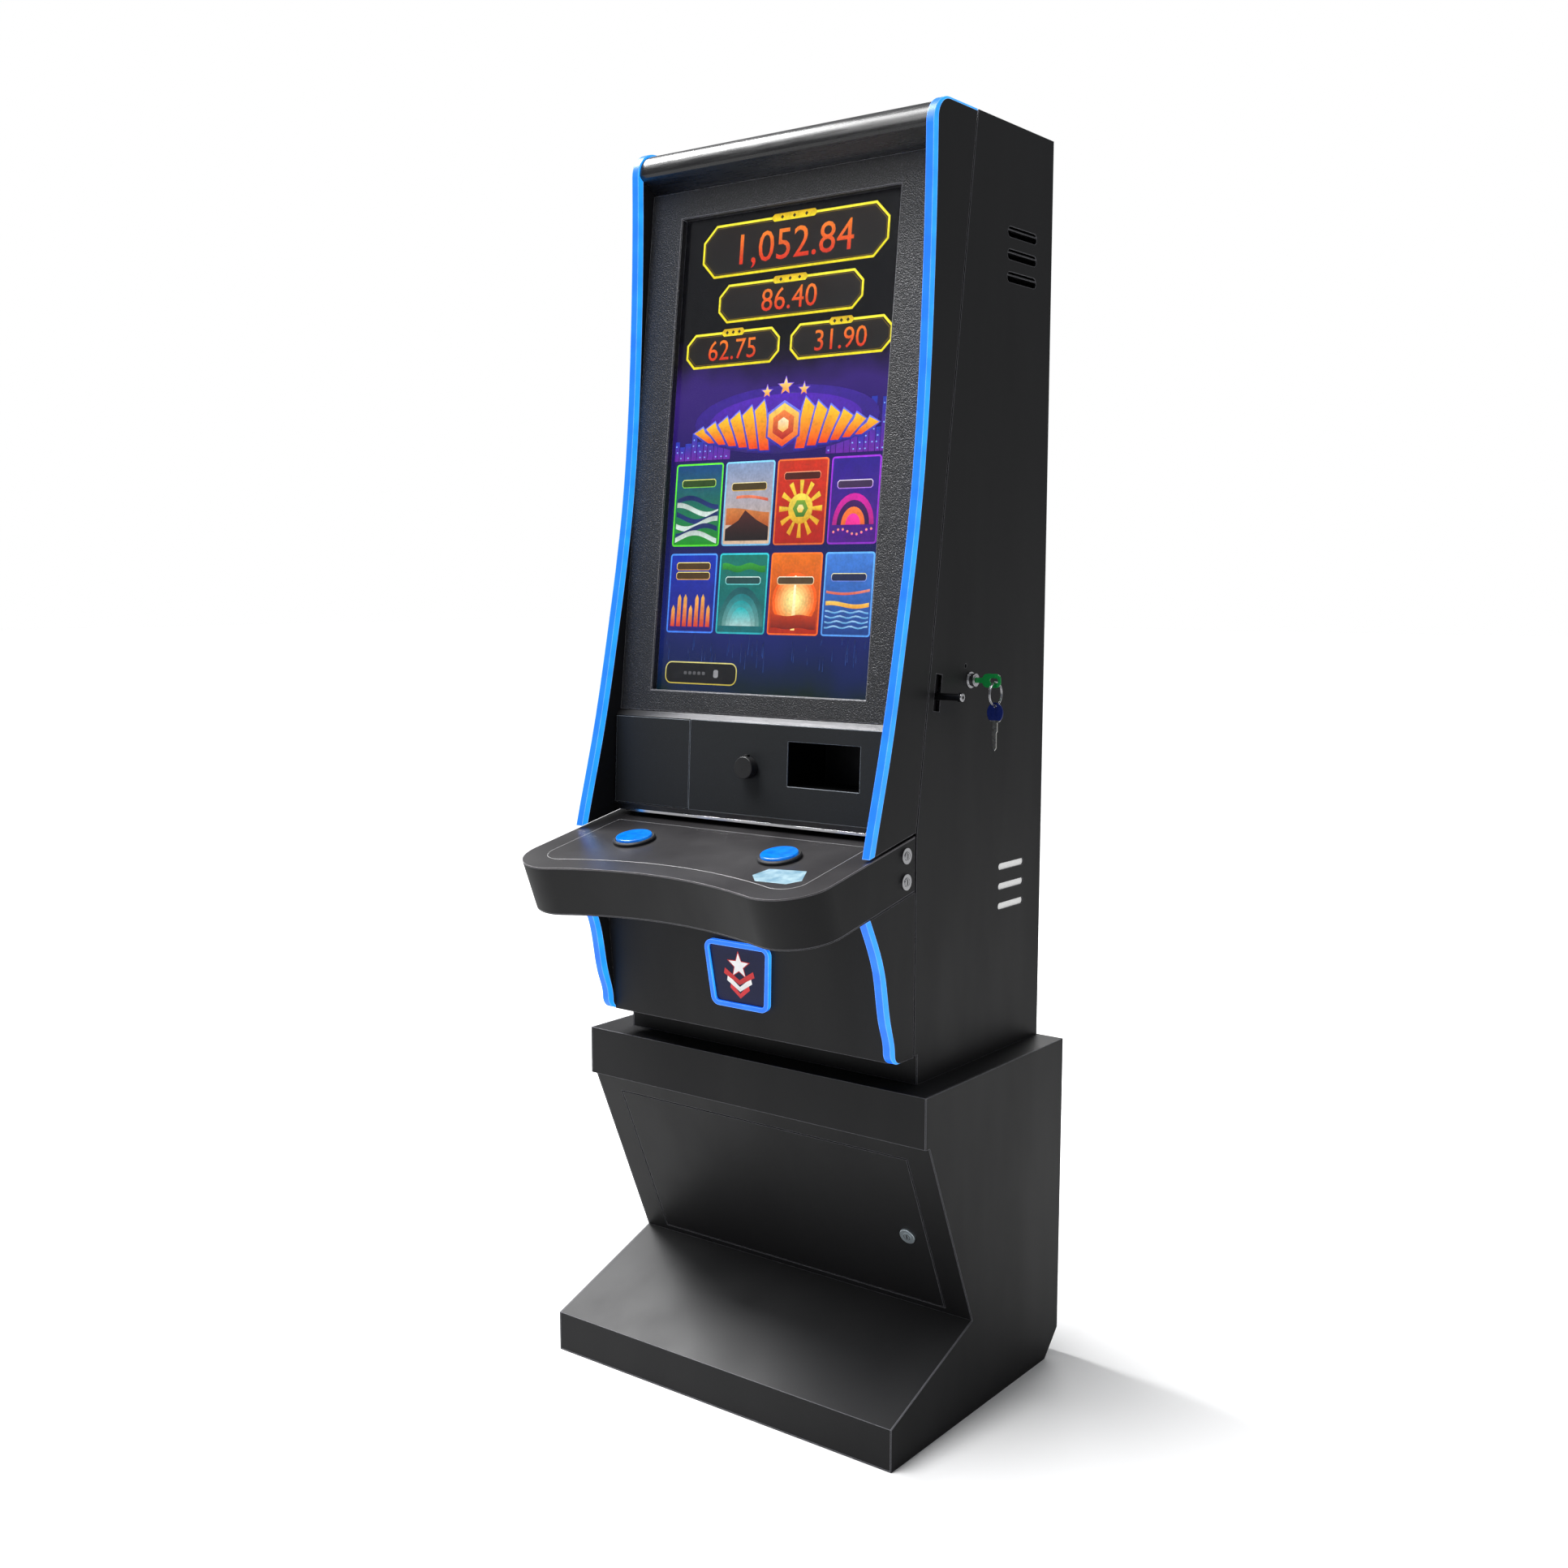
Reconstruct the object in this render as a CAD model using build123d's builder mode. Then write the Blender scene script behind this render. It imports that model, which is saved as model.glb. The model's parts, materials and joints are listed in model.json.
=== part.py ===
"""Floor-standing video game cabinet with a portrait display on a sheet-metal stand.

Millimetres. The origin is the centre of the stand's footprint on the floor, +X is the
player's right, +Y the back and +Z up. A "depth" is measured forward from the flat back
of the cabinet, and a "height" from the floor.
"""
from build123d import *
from math import atan2, cos, hypot, pi, radians, sin, tan
import os

os.makedirs("parts", exist_ok=True)

# ---------------------------------------------------------------- driving sizes
STAND_WIDTH = 640
STAND_DEPTH = 482
STAND_HEIGHT = 516
STAND_SHEET = 2
BAND_DEPTH = 401
BAND_HEIGHT = 75
SKIRT_STEP = 10
CREASE_DEPTH = 266
CREASE_HEIGHT = 144.5
FOOT_FRONT_HEIGHT = 62.6
BACK_CHAMFER = 40
FLOOR_BOLT_RADIUS = 5.5
FLOOR_BOLT_SPAN = (520, 340)
CABLE_HOLE_RADIUS = 30

CABINET_WIDTH = STAND_WIDTH - 94
CABINET_HEIGHT = 1372
CABINET_SHEET = 2
PLINTH_DEPTH = 352
PLINTH_HEIGHT = 44
SEAM_KNEE_DEPTH = 360
SEAM_KNEE_RISE = 359.5
SEAM_TOP_DEPTH = 220
SEAM_GAP = 3

CHEEK_THICKNESS = 12
TRIM_THICKNESS = 12
TRIM_CORNER_RADIUS = 40
TRIM_INNER_RADIUS = 30
TRIM_TOP_THICKNESS = 2.5
PANEL_SHEET = 2
DECK_GAP = 5

DISPLAY_WIDTH = 399.4
DISPLAY_LENGTH = 720
DISPLAY_RISE = 190.9
DISPLAY_BOTTOM_DEPTH = 384.2
BEZEL_TOP_DROP = 63
BEZEL_TILT = 6.35
BEZEL_SHEET = 3
DISPLAY_RECESS = 12
GLASS_THICKNESS = 3
GLASS_LAP = 4
LCD_THICKNESS = 24

BILL_PANEL_DEPTH = 405.4
BILL_PANEL_RISE = 13.2
BILL_PANEL_TILT = 2.52
BILL_PANEL_LENGTH = 136.3
LEDGE_RISE = 158.5
FLAP_EDGE_X = -108
FLAP_GAP = 1.5
ACCEPTOR_WIDTH = 127
ACCEPTOR_HEIGHT = 65
ACCEPTOR_X = 140.5
ACCEPTOR_BOTTOM = 48
ACCEPTOR_LENGTH = 96
KNOB_RADIUS = 16.5
KNOB_HEIGHT = 17
KNOB_ACROSS = 8
KNOB_UP = 71

DECK_WIDTH = CABINET_WIDTH - 2
DECK_REACH = 272.5
DECK_WAIST = 243
DECK_CORNER_RADIUS = 70
DECK_SLOPE = 11.67
DECK_WALL = 2.5
DECK_BACK = 5
DECK_START = 8
APRON_SHIFT = 28.5
APRON_DROP = 73.5
BUTTON_X = 135.5
BUTTON_REACH = 131.7
BUTTON_CAP_RADIUS = 27
BUTTON_RING_RADIUS = BUTTON_CAP_RADIUS + 5
BUTTON_RING_HEIGHT = 6
BUTTON_CAP_HEIGHT = 9.5
BUTTON_CLEARANCE = 0.5
BUTTON_TRAVEL = 3.5
BUTTON_BARREL_RADIUS = BUTTON_CAP_RADIUS - 2.5

BELLY_TOP_DEPTH = 428
BELLY_BOTTOM_DEPTH = 406
BELLY_BOTTOM_RISE = 41
EMBLEM_TOP_WIDTH = 124
EMBLEM_BOTTOM_WIDTH = 106
EMBLEM_HEIGHT = 102
EMBLEM_UP = 42
EMBLEM_RIM = 7

STAND_DOOR_WIDTH = STAND_WIDTH - 94
STAND_DOOR_LENGTH = 278
STAND_DOOR_UP = 12
STAND_DOOR_GAP = 2
DOOR_RETURN = 14
HINGE_INSET = 4

RUNNING_CLEARANCE = 0.05
SEAT_GAP = 0.3
SHAFT_RADIUS = 6.5

# ---------------------------------------------------------------- derived places
BACK_Y = STAND_DEPTH / 2
BASE = STAND_HEIGHT
TOP = BASE + CABINET_HEIGHT
KNEE = BASE + SEAM_KNEE_RISE
HALF_STAND = STAND_WIDTH / 2
HALF_CAB = CABINET_WIDTH / 2
INNER_CAB = HALF_CAB - CABINET_SHEET
INNER_CHEEK = HALF_CAB - CHEEK_THICKNESS
BAND_BOTTOM = STAND_HEIGHT - BAND_HEIGHT
SKIRT_TOP_DEPTH = BAND_DEPTH - SKIRT_STEP
SEAM_TILT = atan2(SEAM_KNEE_DEPTH - SEAM_TOP_DEPTH, TOP - KNEE)
SKIRT_TILT = atan2(SKIRT_TOP_DEPTH - CREASE_DEPTH, BAND_BOTTOM - CREASE_HEIGHT)
SEAM_LENGTH = hypot(SEAM_KNEE_DEPTH - SEAM_TOP_DEPTH, TOP - KNEE)
DECK_TILT = radians(DECK_SLOPE)
DECK_START_DEPTH = SEAM_KNEE_DEPTH + DECK_START
BELLY_BOTTOM = BASE + BELLY_BOTTOM_RISE
BEZEL_TOP_HEIGHT = TOP - BEZEL_TOP_DROP


def front(depth):
    """Y of a point that lies this far forward of the cabinet's back."""
    return BACK_Y - depth


def seam_depth(height):
    """Depth of the seam between the cabinet's sides and the display door."""
    return SEAM_KNEE_DEPTH - (height - KNEE) * tan(SEAM_TILT)


def deck_height(depth):
    """Height of the deck's top surface at a depth."""
    return KNEE - (depth - DECK_START_DEPTH) * tan(DECK_TILT)


def deck_underside(depth):
    """Height of the deck's bottom surface at a depth."""
    return deck_height(depth + APRON_SHIFT) - APRON_DROP


def leaning_plane(depth, height, tilt):
    """A plane that faces forward: local x is +X, local y climbs it, tilted up by tilt."""
    return Plane(origin=(0, front(depth), height), x_dir=(1, 0, 0), z_dir=(0, -cos(tilt), sin(tilt)))


SEAM = leaning_plane(SEAM_KNEE_DEPTH, KNEE, SEAM_TILT)
BEZEL = leaning_plane(DISPLAY_BOTTOM_DEPTH, KNEE + DISPLAY_RISE, radians(BEZEL_TILT))
BILL = leaning_plane(BILL_PANEL_DEPTH, KNEE + BILL_PANEL_RISE, radians(BILL_PANEL_TILT))
SKIRT = leaning_plane(CREASE_DEPTH, CREASE_HEIGHT, -SKIRT_TILT)
BELLY_TILT = atan2(BELLY_TOP_DEPTH - BELLY_BOTTOM_DEPTH, deck_underside(BELLY_TOP_DEPTH) - BELLY_BOTTOM)
BELLY = leaning_plane(BELLY_BOTTOM_DEPTH, BELLY_BOTTOM, -BELLY_TILT)
DECK = Plane(
    origin=(0, front(DECK_START_DEPTH), KNEE),
    x_dir=(1, 0, 0),
    z_dir=(0, -sin(DECK_TILT), cos(DECK_TILT)),
)
FLOOR_UP = Plane.XY
BACK_OUT = Plane(origin=(0, BACK_Y, 0), x_dir=(-1, 0, 0), z_dir=(0, 1, 0))
RIGHT_OUT = Plane(origin=(HALF_CAB, 0, 0), x_dir=(0, 1, 0), z_dir=(1, 0, 0))

# ---------------------------------------------------------------- making tools


def save(builder, label):
    """Label a finished piece and write it."""
    builder.part.label = label
    export_step(builder.part, f"parts/{label}.step")


def block(plane, across, up, out, mode=Mode.ADD):
    """A rectangular block on a plane: its spans across, up and out of the plane."""
    with BuildSketch(plane.offset(out[0])) as face:
        with Locations(((across[0] + across[1]) / 2, (up[0] + up[1]) / 2)):
            Rectangle(across[1] - across[0], up[1] - up[0])
    extrude(face.sketch, amount=out[1] - out[0], mode=mode)


def peg(plane, centre, radius, out, mode=Mode.ADD):
    """A round bar or hole on a plane, from out[0] to out[1] along its normal."""
    with BuildSketch(plane.offset(out[0])) as face:
        with Locations(centre):
            Circle(radius)
    extrude(face.sketch, amount=out[1] - out[0], mode=mode)


def side_sketch(points):
    """A closed outline given as (depth, height) pairs, lying in the plane X = 0."""
    with BuildSketch(Plane.YZ) as face:
        with BuildLine():
            Polyline(*[(front(depth), height) for depth, height in points], close=True)
        make_face()
    return face.sketch


def side_prism(points, span, mode=Mode.ADD):
    """A side outline extruded across X from span[0] to span[1]."""
    extrude(side_sketch(points).moved(Location((span[0], 0, 0))), amount=span[1] - span[0], mode=mode)


# ================================================================ stand
STAND_OUTLINE = [
    (0, BACK_CHAMFER),
    (BACK_CHAMFER, 0),
    (STAND_DEPTH, 0),
    (STAND_DEPTH, FOOT_FRONT_HEIGHT),
    (CREASE_DEPTH, CREASE_HEIGHT),
    (SKIRT_TOP_DEPTH, BAND_BOTTOM),
    (BAND_DEPTH, BAND_BOTTOM),
    (BAND_DEPTH, STAND_HEIGHT),
    (0, STAND_HEIGHT),
]
STAND_INNER = (-HALF_STAND + STAND_SHEET, HALF_STAND - STAND_SHEET)
FOOT_SLOPE = atan2(CREASE_HEIGHT - FOOT_FRONT_HEIGHT, STAND_DEPTH - CREASE_DEPTH)
CREASE_REACH = 20
CREASE_BISECTOR = (pi / 2 - SKIRT_TILT - FOOT_SLOPE) / 2
CREASE_INNER = (
    CREASE_DEPTH - CREASE_REACH * cos(CREASE_BISECTOR),
    CREASE_HEIGHT - CREASE_REACH * sin(CREASE_BISECTOR),
)


def folded_sheet(region):
    """The part of the stand's thin folded skin that lies inside a (depth, height) region."""
    with BuildSketch(Plane.YZ) as skin:
        with BuildLine():
            Polyline(*[(front(depth), height) for depth, height in STAND_OUTLINE], close=True)
        make_face()
        offset(amount=-STAND_SHEET, kind=Kind.INTERSECTION, mode=Mode.SUBTRACT)
        with BuildLine():
            Polyline(*[(front(depth), height) for depth, height in region], close=True)
        make_face(mode=Mode.INTERSECT)
    width = STAND_INNER[1] - STAND_INNER[0]
    extrude(skin.sketch.moved(Location((STAND_INNER[0], 0, 0))), amount=width)


SHEET_TOP = STAND_HEIGHT - STAND_SHEET
OUTSIDE = 5

for side, low in (("left", -HALF_STAND), ("right", HALF_STAND - STAND_SHEET)):
    with BuildPart() as stand_side:
        side_prism(STAND_OUTLINE, (low, low + STAND_SHEET))
    save(stand_side, f"stand_side_{side}")

with BuildPart() as stand_top_tray:
    folded_sheet([
        (-OUTSIDE, SHEET_TOP),
        (SKIRT_TOP_DEPTH - 4 * STAND_SHEET, SHEET_TOP),
        (SKIRT_TOP_DEPTH - 4 * STAND_SHEET, BAND_BOTTOM),
        (BAND_DEPTH + OUTSIDE, BAND_BOTTOM),
        (BAND_DEPTH + OUTSIDE, STAND_HEIGHT + OUTSIDE),
        (-OUTSIDE, STAND_HEIGHT + OUTSIDE),
    ])
    peg(FLOOR_UP, (0, front(PLINTH_DEPTH / 2)), CABLE_HOLE_RADIUS, (SHEET_TOP - 1, STAND_HEIGHT + 1),
        Mode.SUBTRACT)
save(stand_top_tray, "stand_top_tray")

with BuildPart() as stand_skirt:
    folded_sheet([
        (CREASE_DEPTH, CREASE_HEIGHT),
        (BAND_DEPTH, BAND_BOTTOM),
        (SKIRT_TOP_DEPTH - 20, BAND_BOTTOM),
        (CREASE_DEPTH - 30, CREASE_HEIGHT),
        CREASE_INNER,
    ])
    opening = STAND_DOOR_WIDTH / 2 + STAND_DOOR_GAP
    opening_up = (STAND_DOOR_UP - STAND_DOOR_GAP, STAND_DOOR_UP + STAND_DOOR_LENGTH + STAND_DOOR_GAP)
    block(SKIRT, (-opening, opening), opening_up, (-10, 10), Mode.SUBTRACT)
    lip_up = (opening_up[0] + 10, opening_up[1] - 10)
    block(SKIRT, (opening, opening + STAND_SHEET), lip_up, (-DOOR_RETURN, -STAND_SHEET))
save(stand_skirt, "stand_skirt")

with BuildPart() as stand_foot:
    folded_sheet([
        (STAND_DEPTH + OUTSIDE, STAND_SHEET),
        (STAND_DEPTH + OUTSIDE, CREASE_HEIGHT),
        (CREASE_DEPTH, CREASE_HEIGHT),
        CREASE_INNER,
        (CREASE_DEPTH, CREASE_HEIGHT / 2),
        (STAND_DEPTH - 30, STAND_SHEET),
    ])
save(stand_foot, "stand_foot")

with BuildPart() as stand_back_and_floor:
    folded_sheet([
        (-OUTSIDE, -OUTSIDE),
        (STAND_DEPTH + OUTSIDE, -OUTSIDE),
        (STAND_DEPTH + OUTSIDE, STAND_SHEET),
        (2 * BACK_CHAMFER, STAND_SHEET),
        (5 * STAND_SHEET, 2 * BACK_CHAMFER),
        (5 * STAND_SHEET, SHEET_TOP),
        (-OUTSIDE, SHEET_TOP),
    ])
    with Locations((0, 0, STAND_SHEET)):
        with GridLocations(FLOOR_BOLT_SPAN[0], FLOOR_BOLT_SPAN[1], 2, 2):
            Hole(FLOOR_BOLT_RADIUS, depth=2 * STAND_SHEET)
    peg(FLOOR_UP, (0, 110), CABLE_HOLE_RADIUS, (-1, STAND_SHEET + 1), Mode.SUBTRACT)
save(stand_back_and_floor, "stand_back_and_floor")

# ---------------------------------------------------------------- stand door
DOOR_HALF = STAND_DOOR_WIDTH / 2
DOOR_TOP = STAND_DOOR_UP + STAND_DOOR_LENGTH
PIN_RADIUS = 2
PIN_X = -DOOR_HALF + HINGE_INSET
LOCK_X = DOOR_HALF - 33
LOCK_UP = STAND_DOOR_UP + 128.6
LOCK_BARREL_RADIUS = 9.5

with BuildPart() as stand_door:
    block(SKIRT, (-DOOR_HALF, DOOR_HALF), (STAND_DOOR_UP, DOOR_TOP), (-DOOR_RETURN, 0))
    block(
        SKIRT,
        (-DOOR_HALF + STAND_SHEET, DOOR_HALF - STAND_SHEET),
        (STAND_DOOR_UP + STAND_SHEET, DOOR_TOP - STAND_SHEET),
        (-DOOR_RETURN - 1, -STAND_SHEET),
        Mode.SUBTRACT,
    )
    peg(SKIRT, (LOCK_X, LOCK_UP), LOCK_BARREL_RADIUS, (-10, 10), Mode.SUBTRACT)
    pin_plane = Plane(origin=SKIRT.from_local_coords((PIN_X, 0, -HINGE_INSET)), x_dir=(1, 0, 0),
                      z_dir=SKIRT.y_dir)
    peg(pin_plane, (0, 0), PIN_RADIUS + RUNNING_CLEARANCE, (0, DOOR_TOP + 10), Mode.SUBTRACT)
save(stand_door, "stand_door")

with BuildPart() as stand_hinge_pins:
    bracket = (-DOOR_HALF - 20, -DOOR_HALF + 14)
    bracket_out = (-DOOR_RETURN, -STAND_SHEET)
    top_up = DOOR_TOP + STAND_DOOR_GAP
    block(SKIRT, bracket, (top_up, top_up + 2.5), bracket_out)
    peg(pin_plane, (0, 0), PIN_RADIUS, (DOOR_TOP - 8, top_up))
    bottom_up = STAND_DOOR_UP - STAND_DOOR_GAP
    block(SKIRT, bracket, (bottom_up - 2.5, bottom_up), bracket_out)
    peg(pin_plane, (0, 0), PIN_RADIUS, (bottom_up, STAND_DOOR_UP + 8))
save(stand_hinge_pins, "stand_hinge_pins")


def lock_body(plane, centre, flange_radius, proud, depth):
    """A cam lock's fixed body: flange outside, barrel inside, and a bore for the plug."""
    peg(plane, centre, flange_radius, (0, proud))
    peg(plane, centre, LOCK_BARREL_RADIUS, (-depth, 0))
    peg(plane, centre, SHAFT_RADIUS + RUNNING_CLEARANCE, (-depth - 1, proud + 1), Mode.SUBTRACT)


def lock_plug(plane, centre, proud, depth):
    """A cam lock's turning plug with its keyway slot."""
    peg(plane, centre, SHAFT_RADIUS, (-depth, proud))
    keyway = (centre[0] - 0.8, centre[0] + 0.8)
    block(plane, keyway, (centre[1] - 4, centre[1] + 4), (proud - 3, proud + 1), Mode.SUBTRACT)


STAND_LOCK = (LOCK_X, LOCK_UP)
with BuildPart() as stand_lock_body:
    lock_body(SKIRT, STAND_LOCK, 13, 3.5, 17)
    fillet(stand_lock_body.faces().sort_by(Axis(SKIRT.origin, SKIRT.z_dir))[-1].outer_wire().edges(), 1)
save(stand_lock_body, "stand_lock_body")

CAM_REACH = 44
CAM_HALF = 7
with BuildPart() as stand_lock_plug:
    lock_plug(SKIRT, STAND_LOCK, 4, 19)
    block(SKIRT, (LOCK_X - CAM_HALF, LOCK_X + CAM_HALF), (LOCK_UP - CAM_HALF, LOCK_UP + CAM_REACH),
          (-19.5, -17.5))
save(stand_lock_plug, "stand_lock_plug")

# ================================================================ cabinet shell
SIDE_OUTLINE = [
    (0, BASE),
    (PLINTH_DEPTH, BASE),
    (PLINTH_DEPTH, BASE + PLINTH_HEIGHT),
    (SEAM_KNEE_DEPTH, BASE + PLINTH_HEIGHT),
    (SEAM_KNEE_DEPTH, KNEE),
    (SEAM_TOP_DEPTH, TOP),
    (0, TOP),
]
VENT_Y = front(90)
VENT_LENGTH = 86
UPPER_VENTS = [TOP - 151 - 32 * row for row in range(3)]
UPPER_VENT_HEIGHT = 15
LOWER_VENT_Y = front(92)
LOWER_VENT_LENGTH = 76
LOWER_VENTS = [BASE + 225 + 30.5 * row for row in range(3)]
LOWER_VENT_HEIGHT = 10
LIP_DROP = 3.5
LIP_THICKNESS = 2
LIP_DEPTH = 6
LIP_LAP = 3
MAIN_LOCK = (front(223), KNEE + 214.5)
SCREW_HOLE = (front(234), KNEE + 235.1)
LEVER_BEHIND = 22.8
LEVER_UP = 200
LEVER_DOWN_TRAVEL = 12
LEVER_UP_TRAVEL = 22
LEVER_ROD_RADIUS = 5
SLOT_HALF_WIDTH = 8.5
SLOT_MARGIN = 4.3


def vent_slots(plane, centre_y, heights, length, height):
    """Three rounded slots through a side sheet."""
    with BuildSketch(plane.offset(-CABINET_SHEET - 1)) as slots:
        with Locations(*[(centre_y, middle) for middle in heights]):
            SlotOverall(length, height)
    extrude(slots.sketch, amount=CABINET_SHEET + 2, mode=Mode.SUBTRACT)


def vent_lips(inner, inward):
    """A folded lip across each upper slot, just behind the sheet's outer face."""
    near, far = inner - inward, inner + inward * LIP_DEPTH
    for middle in UPPER_VENTS:
        lip_top = middle + UPPER_VENT_HEIGHT / 2 - LIP_DROP
        block(FLOOR_UP, (min(near, far), max(near, far)),
              (VENT_Y - VENT_LENGTH / 2 - LIP_LAP, VENT_Y + VENT_LENGTH / 2 + LIP_LAP),
              (lip_top - LIP_THICKNESS, lip_top))


with BuildPart() as cabinet_side_left:
    side_prism(SIDE_OUTLINE, (-HALF_CAB, -INNER_CAB))
    LEFT_SHEET = Plane(origin=(-INNER_CAB, 0, 0), x_dir=(0, 1, 0), z_dir=(1, 0, 0))
    vent_slots(LEFT_SHEET, VENT_Y, UPPER_VENTS, VENT_LENGTH, UPPER_VENT_HEIGHT)
    vent_slots(LEFT_SHEET, LOWER_VENT_Y, LOWER_VENTS, LOWER_VENT_LENGTH, LOWER_VENT_HEIGHT)
    vent_lips(-INNER_CAB, 1)
save(cabinet_side_left, "cabinet_side_left")

with BuildPart() as cabinet_side_right:
    side_prism(SIDE_OUTLINE, (INNER_CAB, HALF_CAB))
    vent_slots(RIGHT_OUT, VENT_Y, UPPER_VENTS, VENT_LENGTH, UPPER_VENT_HEIGHT)
    vent_slots(RIGHT_OUT, LOWER_VENT_Y, LOWER_VENTS, LOWER_VENT_LENGTH, LOWER_VENT_HEIGHT)
    vent_lips(INNER_CAB, -1)
    peg(RIGHT_OUT, MAIN_LOCK, LOCK_BARREL_RADIUS, (-5, 5), Mode.SUBTRACT)
    peg(RIGHT_OUT, SCREW_HOLE, 3, (-5, 5), Mode.SUBTRACT)
    slot_up = (
        LEVER_UP - LEVER_DOWN_TRAVEL - LEVER_ROD_RADIUS - SLOT_MARGIN,
        LEVER_UP + LEVER_UP_TRAVEL + LEVER_ROD_RADIUS + SLOT_MARGIN,
    )
    slot_out = (-LEVER_BEHIND - SLOT_HALF_WIDTH, -LEVER_BEHIND + SLOT_HALF_WIDTH)
    block(SEAM, (INNER_CAB - 1, HALF_CAB + 1), slot_up, slot_out, Mode.SUBTRACT)
save(cabinet_side_right, "cabinet_side_right")

with BuildPart() as cabinet_top:
    block(FLOOR_UP, (-INNER_CAB, INNER_CAB), (front(SEAM_TOP_DEPTH), BACK_Y), (TOP - CABINET_SHEET, TOP))
save(cabinet_top, "cabinet_top")

FLOOR_TOP = BASE + CABINET_SHEET
with BuildPart() as cabinet_floor:
    block(FLOOR_UP, (-INNER_CAB, INNER_CAB), (front(PLINTH_DEPTH), BACK_Y), (BASE, FLOOR_TOP))
    block(FLOOR_UP, (-INNER_CAB, INNER_CAB), (front(PLINTH_DEPTH), front(PLINTH_DEPTH) + CABINET_SHEET),
          (FLOOR_TOP, BASE + 120))
    peg(FLOOR_UP, (0, front(PLINTH_DEPTH / 2)), CABLE_HOLE_RADIUS, (BASE - 1, FLOOR_TOP + 1), Mode.SUBTRACT)
save(cabinet_floor, "cabinet_floor")

INLET_X = 180
INLET_UP = BASE + 70
INLET_SIZE = (47, 27)
FAN_X = 0
FAN_UP = TOP - 190
FAN_SIZE = 120
FAN_DEPTH = 25
FAN_BORE = 56
with BuildPart() as cabinet_back:
    block(BACK_OUT, (-INNER_CAB, INNER_CAB), (FLOOR_TOP, TOP - CABINET_SHEET), (-CABINET_SHEET, 0))
    block(
        BACK_OUT,
        (INLET_X - INLET_SIZE[0] / 2, INLET_X + INLET_SIZE[0] / 2),
        (INLET_UP - INLET_SIZE[1] / 2, INLET_UP + INLET_SIZE[1] / 2),
        (-5, 5),
        Mode.SUBTRACT,
    )
    pitch = 12
    steps = [pitch * step for step in range(-4, 5)]
    holes = [(FAN_X + x, FAN_UP + y) for x in steps for y in steps if hypot(x, y) < FAN_BORE - 5]
    with BuildSketch(BACK_OUT.offset(-5)) as grille:
        with Locations(*holes):
            Circle(4.5)
    extrude(grille.sketch, amount=10, mode=Mode.SUBTRACT)
save(cabinet_back, "cabinet_back")

with BuildPart() as vent_filters:
    for low in (-INNER_CAB, INNER_CAB - 4):
        block(
            FLOOR_UP,
            (low, low + 4),
            (LOWER_VENT_Y - LOWER_VENT_LENGTH / 2 - 12, LOWER_VENT_Y + LOWER_VENT_LENGTH / 2 + 12),
            (LOWER_VENTS[0] - 25, LOWER_VENTS[-1] + 25),
        )
save(vent_filters, "vent_filters")

SCREW_ROWS = [BASE + 60, BASE + 520, BASE + 960, TOP - 60]
with BuildPart() as cabinet_screws:
    for x in (-INNER_CAB + 14, INNER_CAB - 14):
        for height in SCREW_ROWS:
            peg(BACK_OUT, (x, height), 5, (0, 2.5))
    for x in (-200, 200):
        for y in (front(60), front(300)):
            peg(FLOOR_UP, (x, y), 7, (FLOOR_TOP, FLOOR_TOP + 5))
save(cabinet_screws, "cabinet_screws")

# ---------------------------------------------------------------- inside the cabinet
with BuildPart() as power_inlet:
    inlet_half = (INLET_SIZE[0] / 2 - SEAT_GAP, INLET_SIZE[1] / 2 - SEAT_GAP)
    block(BACK_OUT, (INLET_X - 30, INLET_X + 30), (INLET_UP - 18, INLET_UP + 18), (0, 3))
    block(BACK_OUT, (INLET_X - inlet_half[0], INLET_X + inlet_half[0]),
          (INLET_UP - inlet_half[1], INLET_UP + inlet_half[1]), (-24, 0))
    block(BACK_OUT, (INLET_X - 12, INLET_X + 12), (INLET_UP - 8, INLET_UP + 8), (-19, 4), Mode.SUBTRACT)
    for x, height in ((-7, -2), (7, -2), (0, 3)):
        block(BACK_OUT, (INLET_X + x - 1, INLET_X + x + 1), (INLET_UP + height - 2, INLET_UP + height + 2),
              (-19, -5))
save(power_inlet, "power_inlet")

FAN = BACK_OUT.offset(-CABINET_SHEET)
HUB_RADIUS = 20
SPINDLE_RADIUS = 3
BLADE_COUNT = 7
BLADE_PITCH = radians(38)
with BuildPart() as fan_frame:
    half = FAN_SIZE / 2
    block(FAN, (FAN_X - half, FAN_X + half), (FAN_UP - half, FAN_UP + half), (-FAN_DEPTH, 0))
    peg(FAN, (FAN_X, FAN_UP), FAN_BORE + 1.5, (-FAN_DEPTH - 1, 1), Mode.SUBTRACT)
    peg(FAN, (FAN_X, FAN_UP), HUB_RADIUS, (-FAN_DEPTH, -FAN_DEPTH + 3))
    for turn in range(4):
        angle = radians(45 + 90 * turn)
        middle = (HUB_RADIUS + FAN_BORE) / 2
        spoke = Plane(
            origin=FAN.from_local_coords((FAN_X + middle * cos(angle), FAN_UP + middle * sin(angle), 0)),
            x_dir=FAN.x_dir * cos(angle) + FAN.y_dir * sin(angle),
            z_dir=FAN.z_dir,
        )
        block(spoke, (-20, 20), (-2.5, 2.5), (-FAN_DEPTH, -FAN_DEPTH + 3))
    peg(FAN, (FAN_X, FAN_UP), SPINDLE_RADIUS, (-FAN_DEPTH, -8))
save(fan_frame, "fan_frame")

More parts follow.
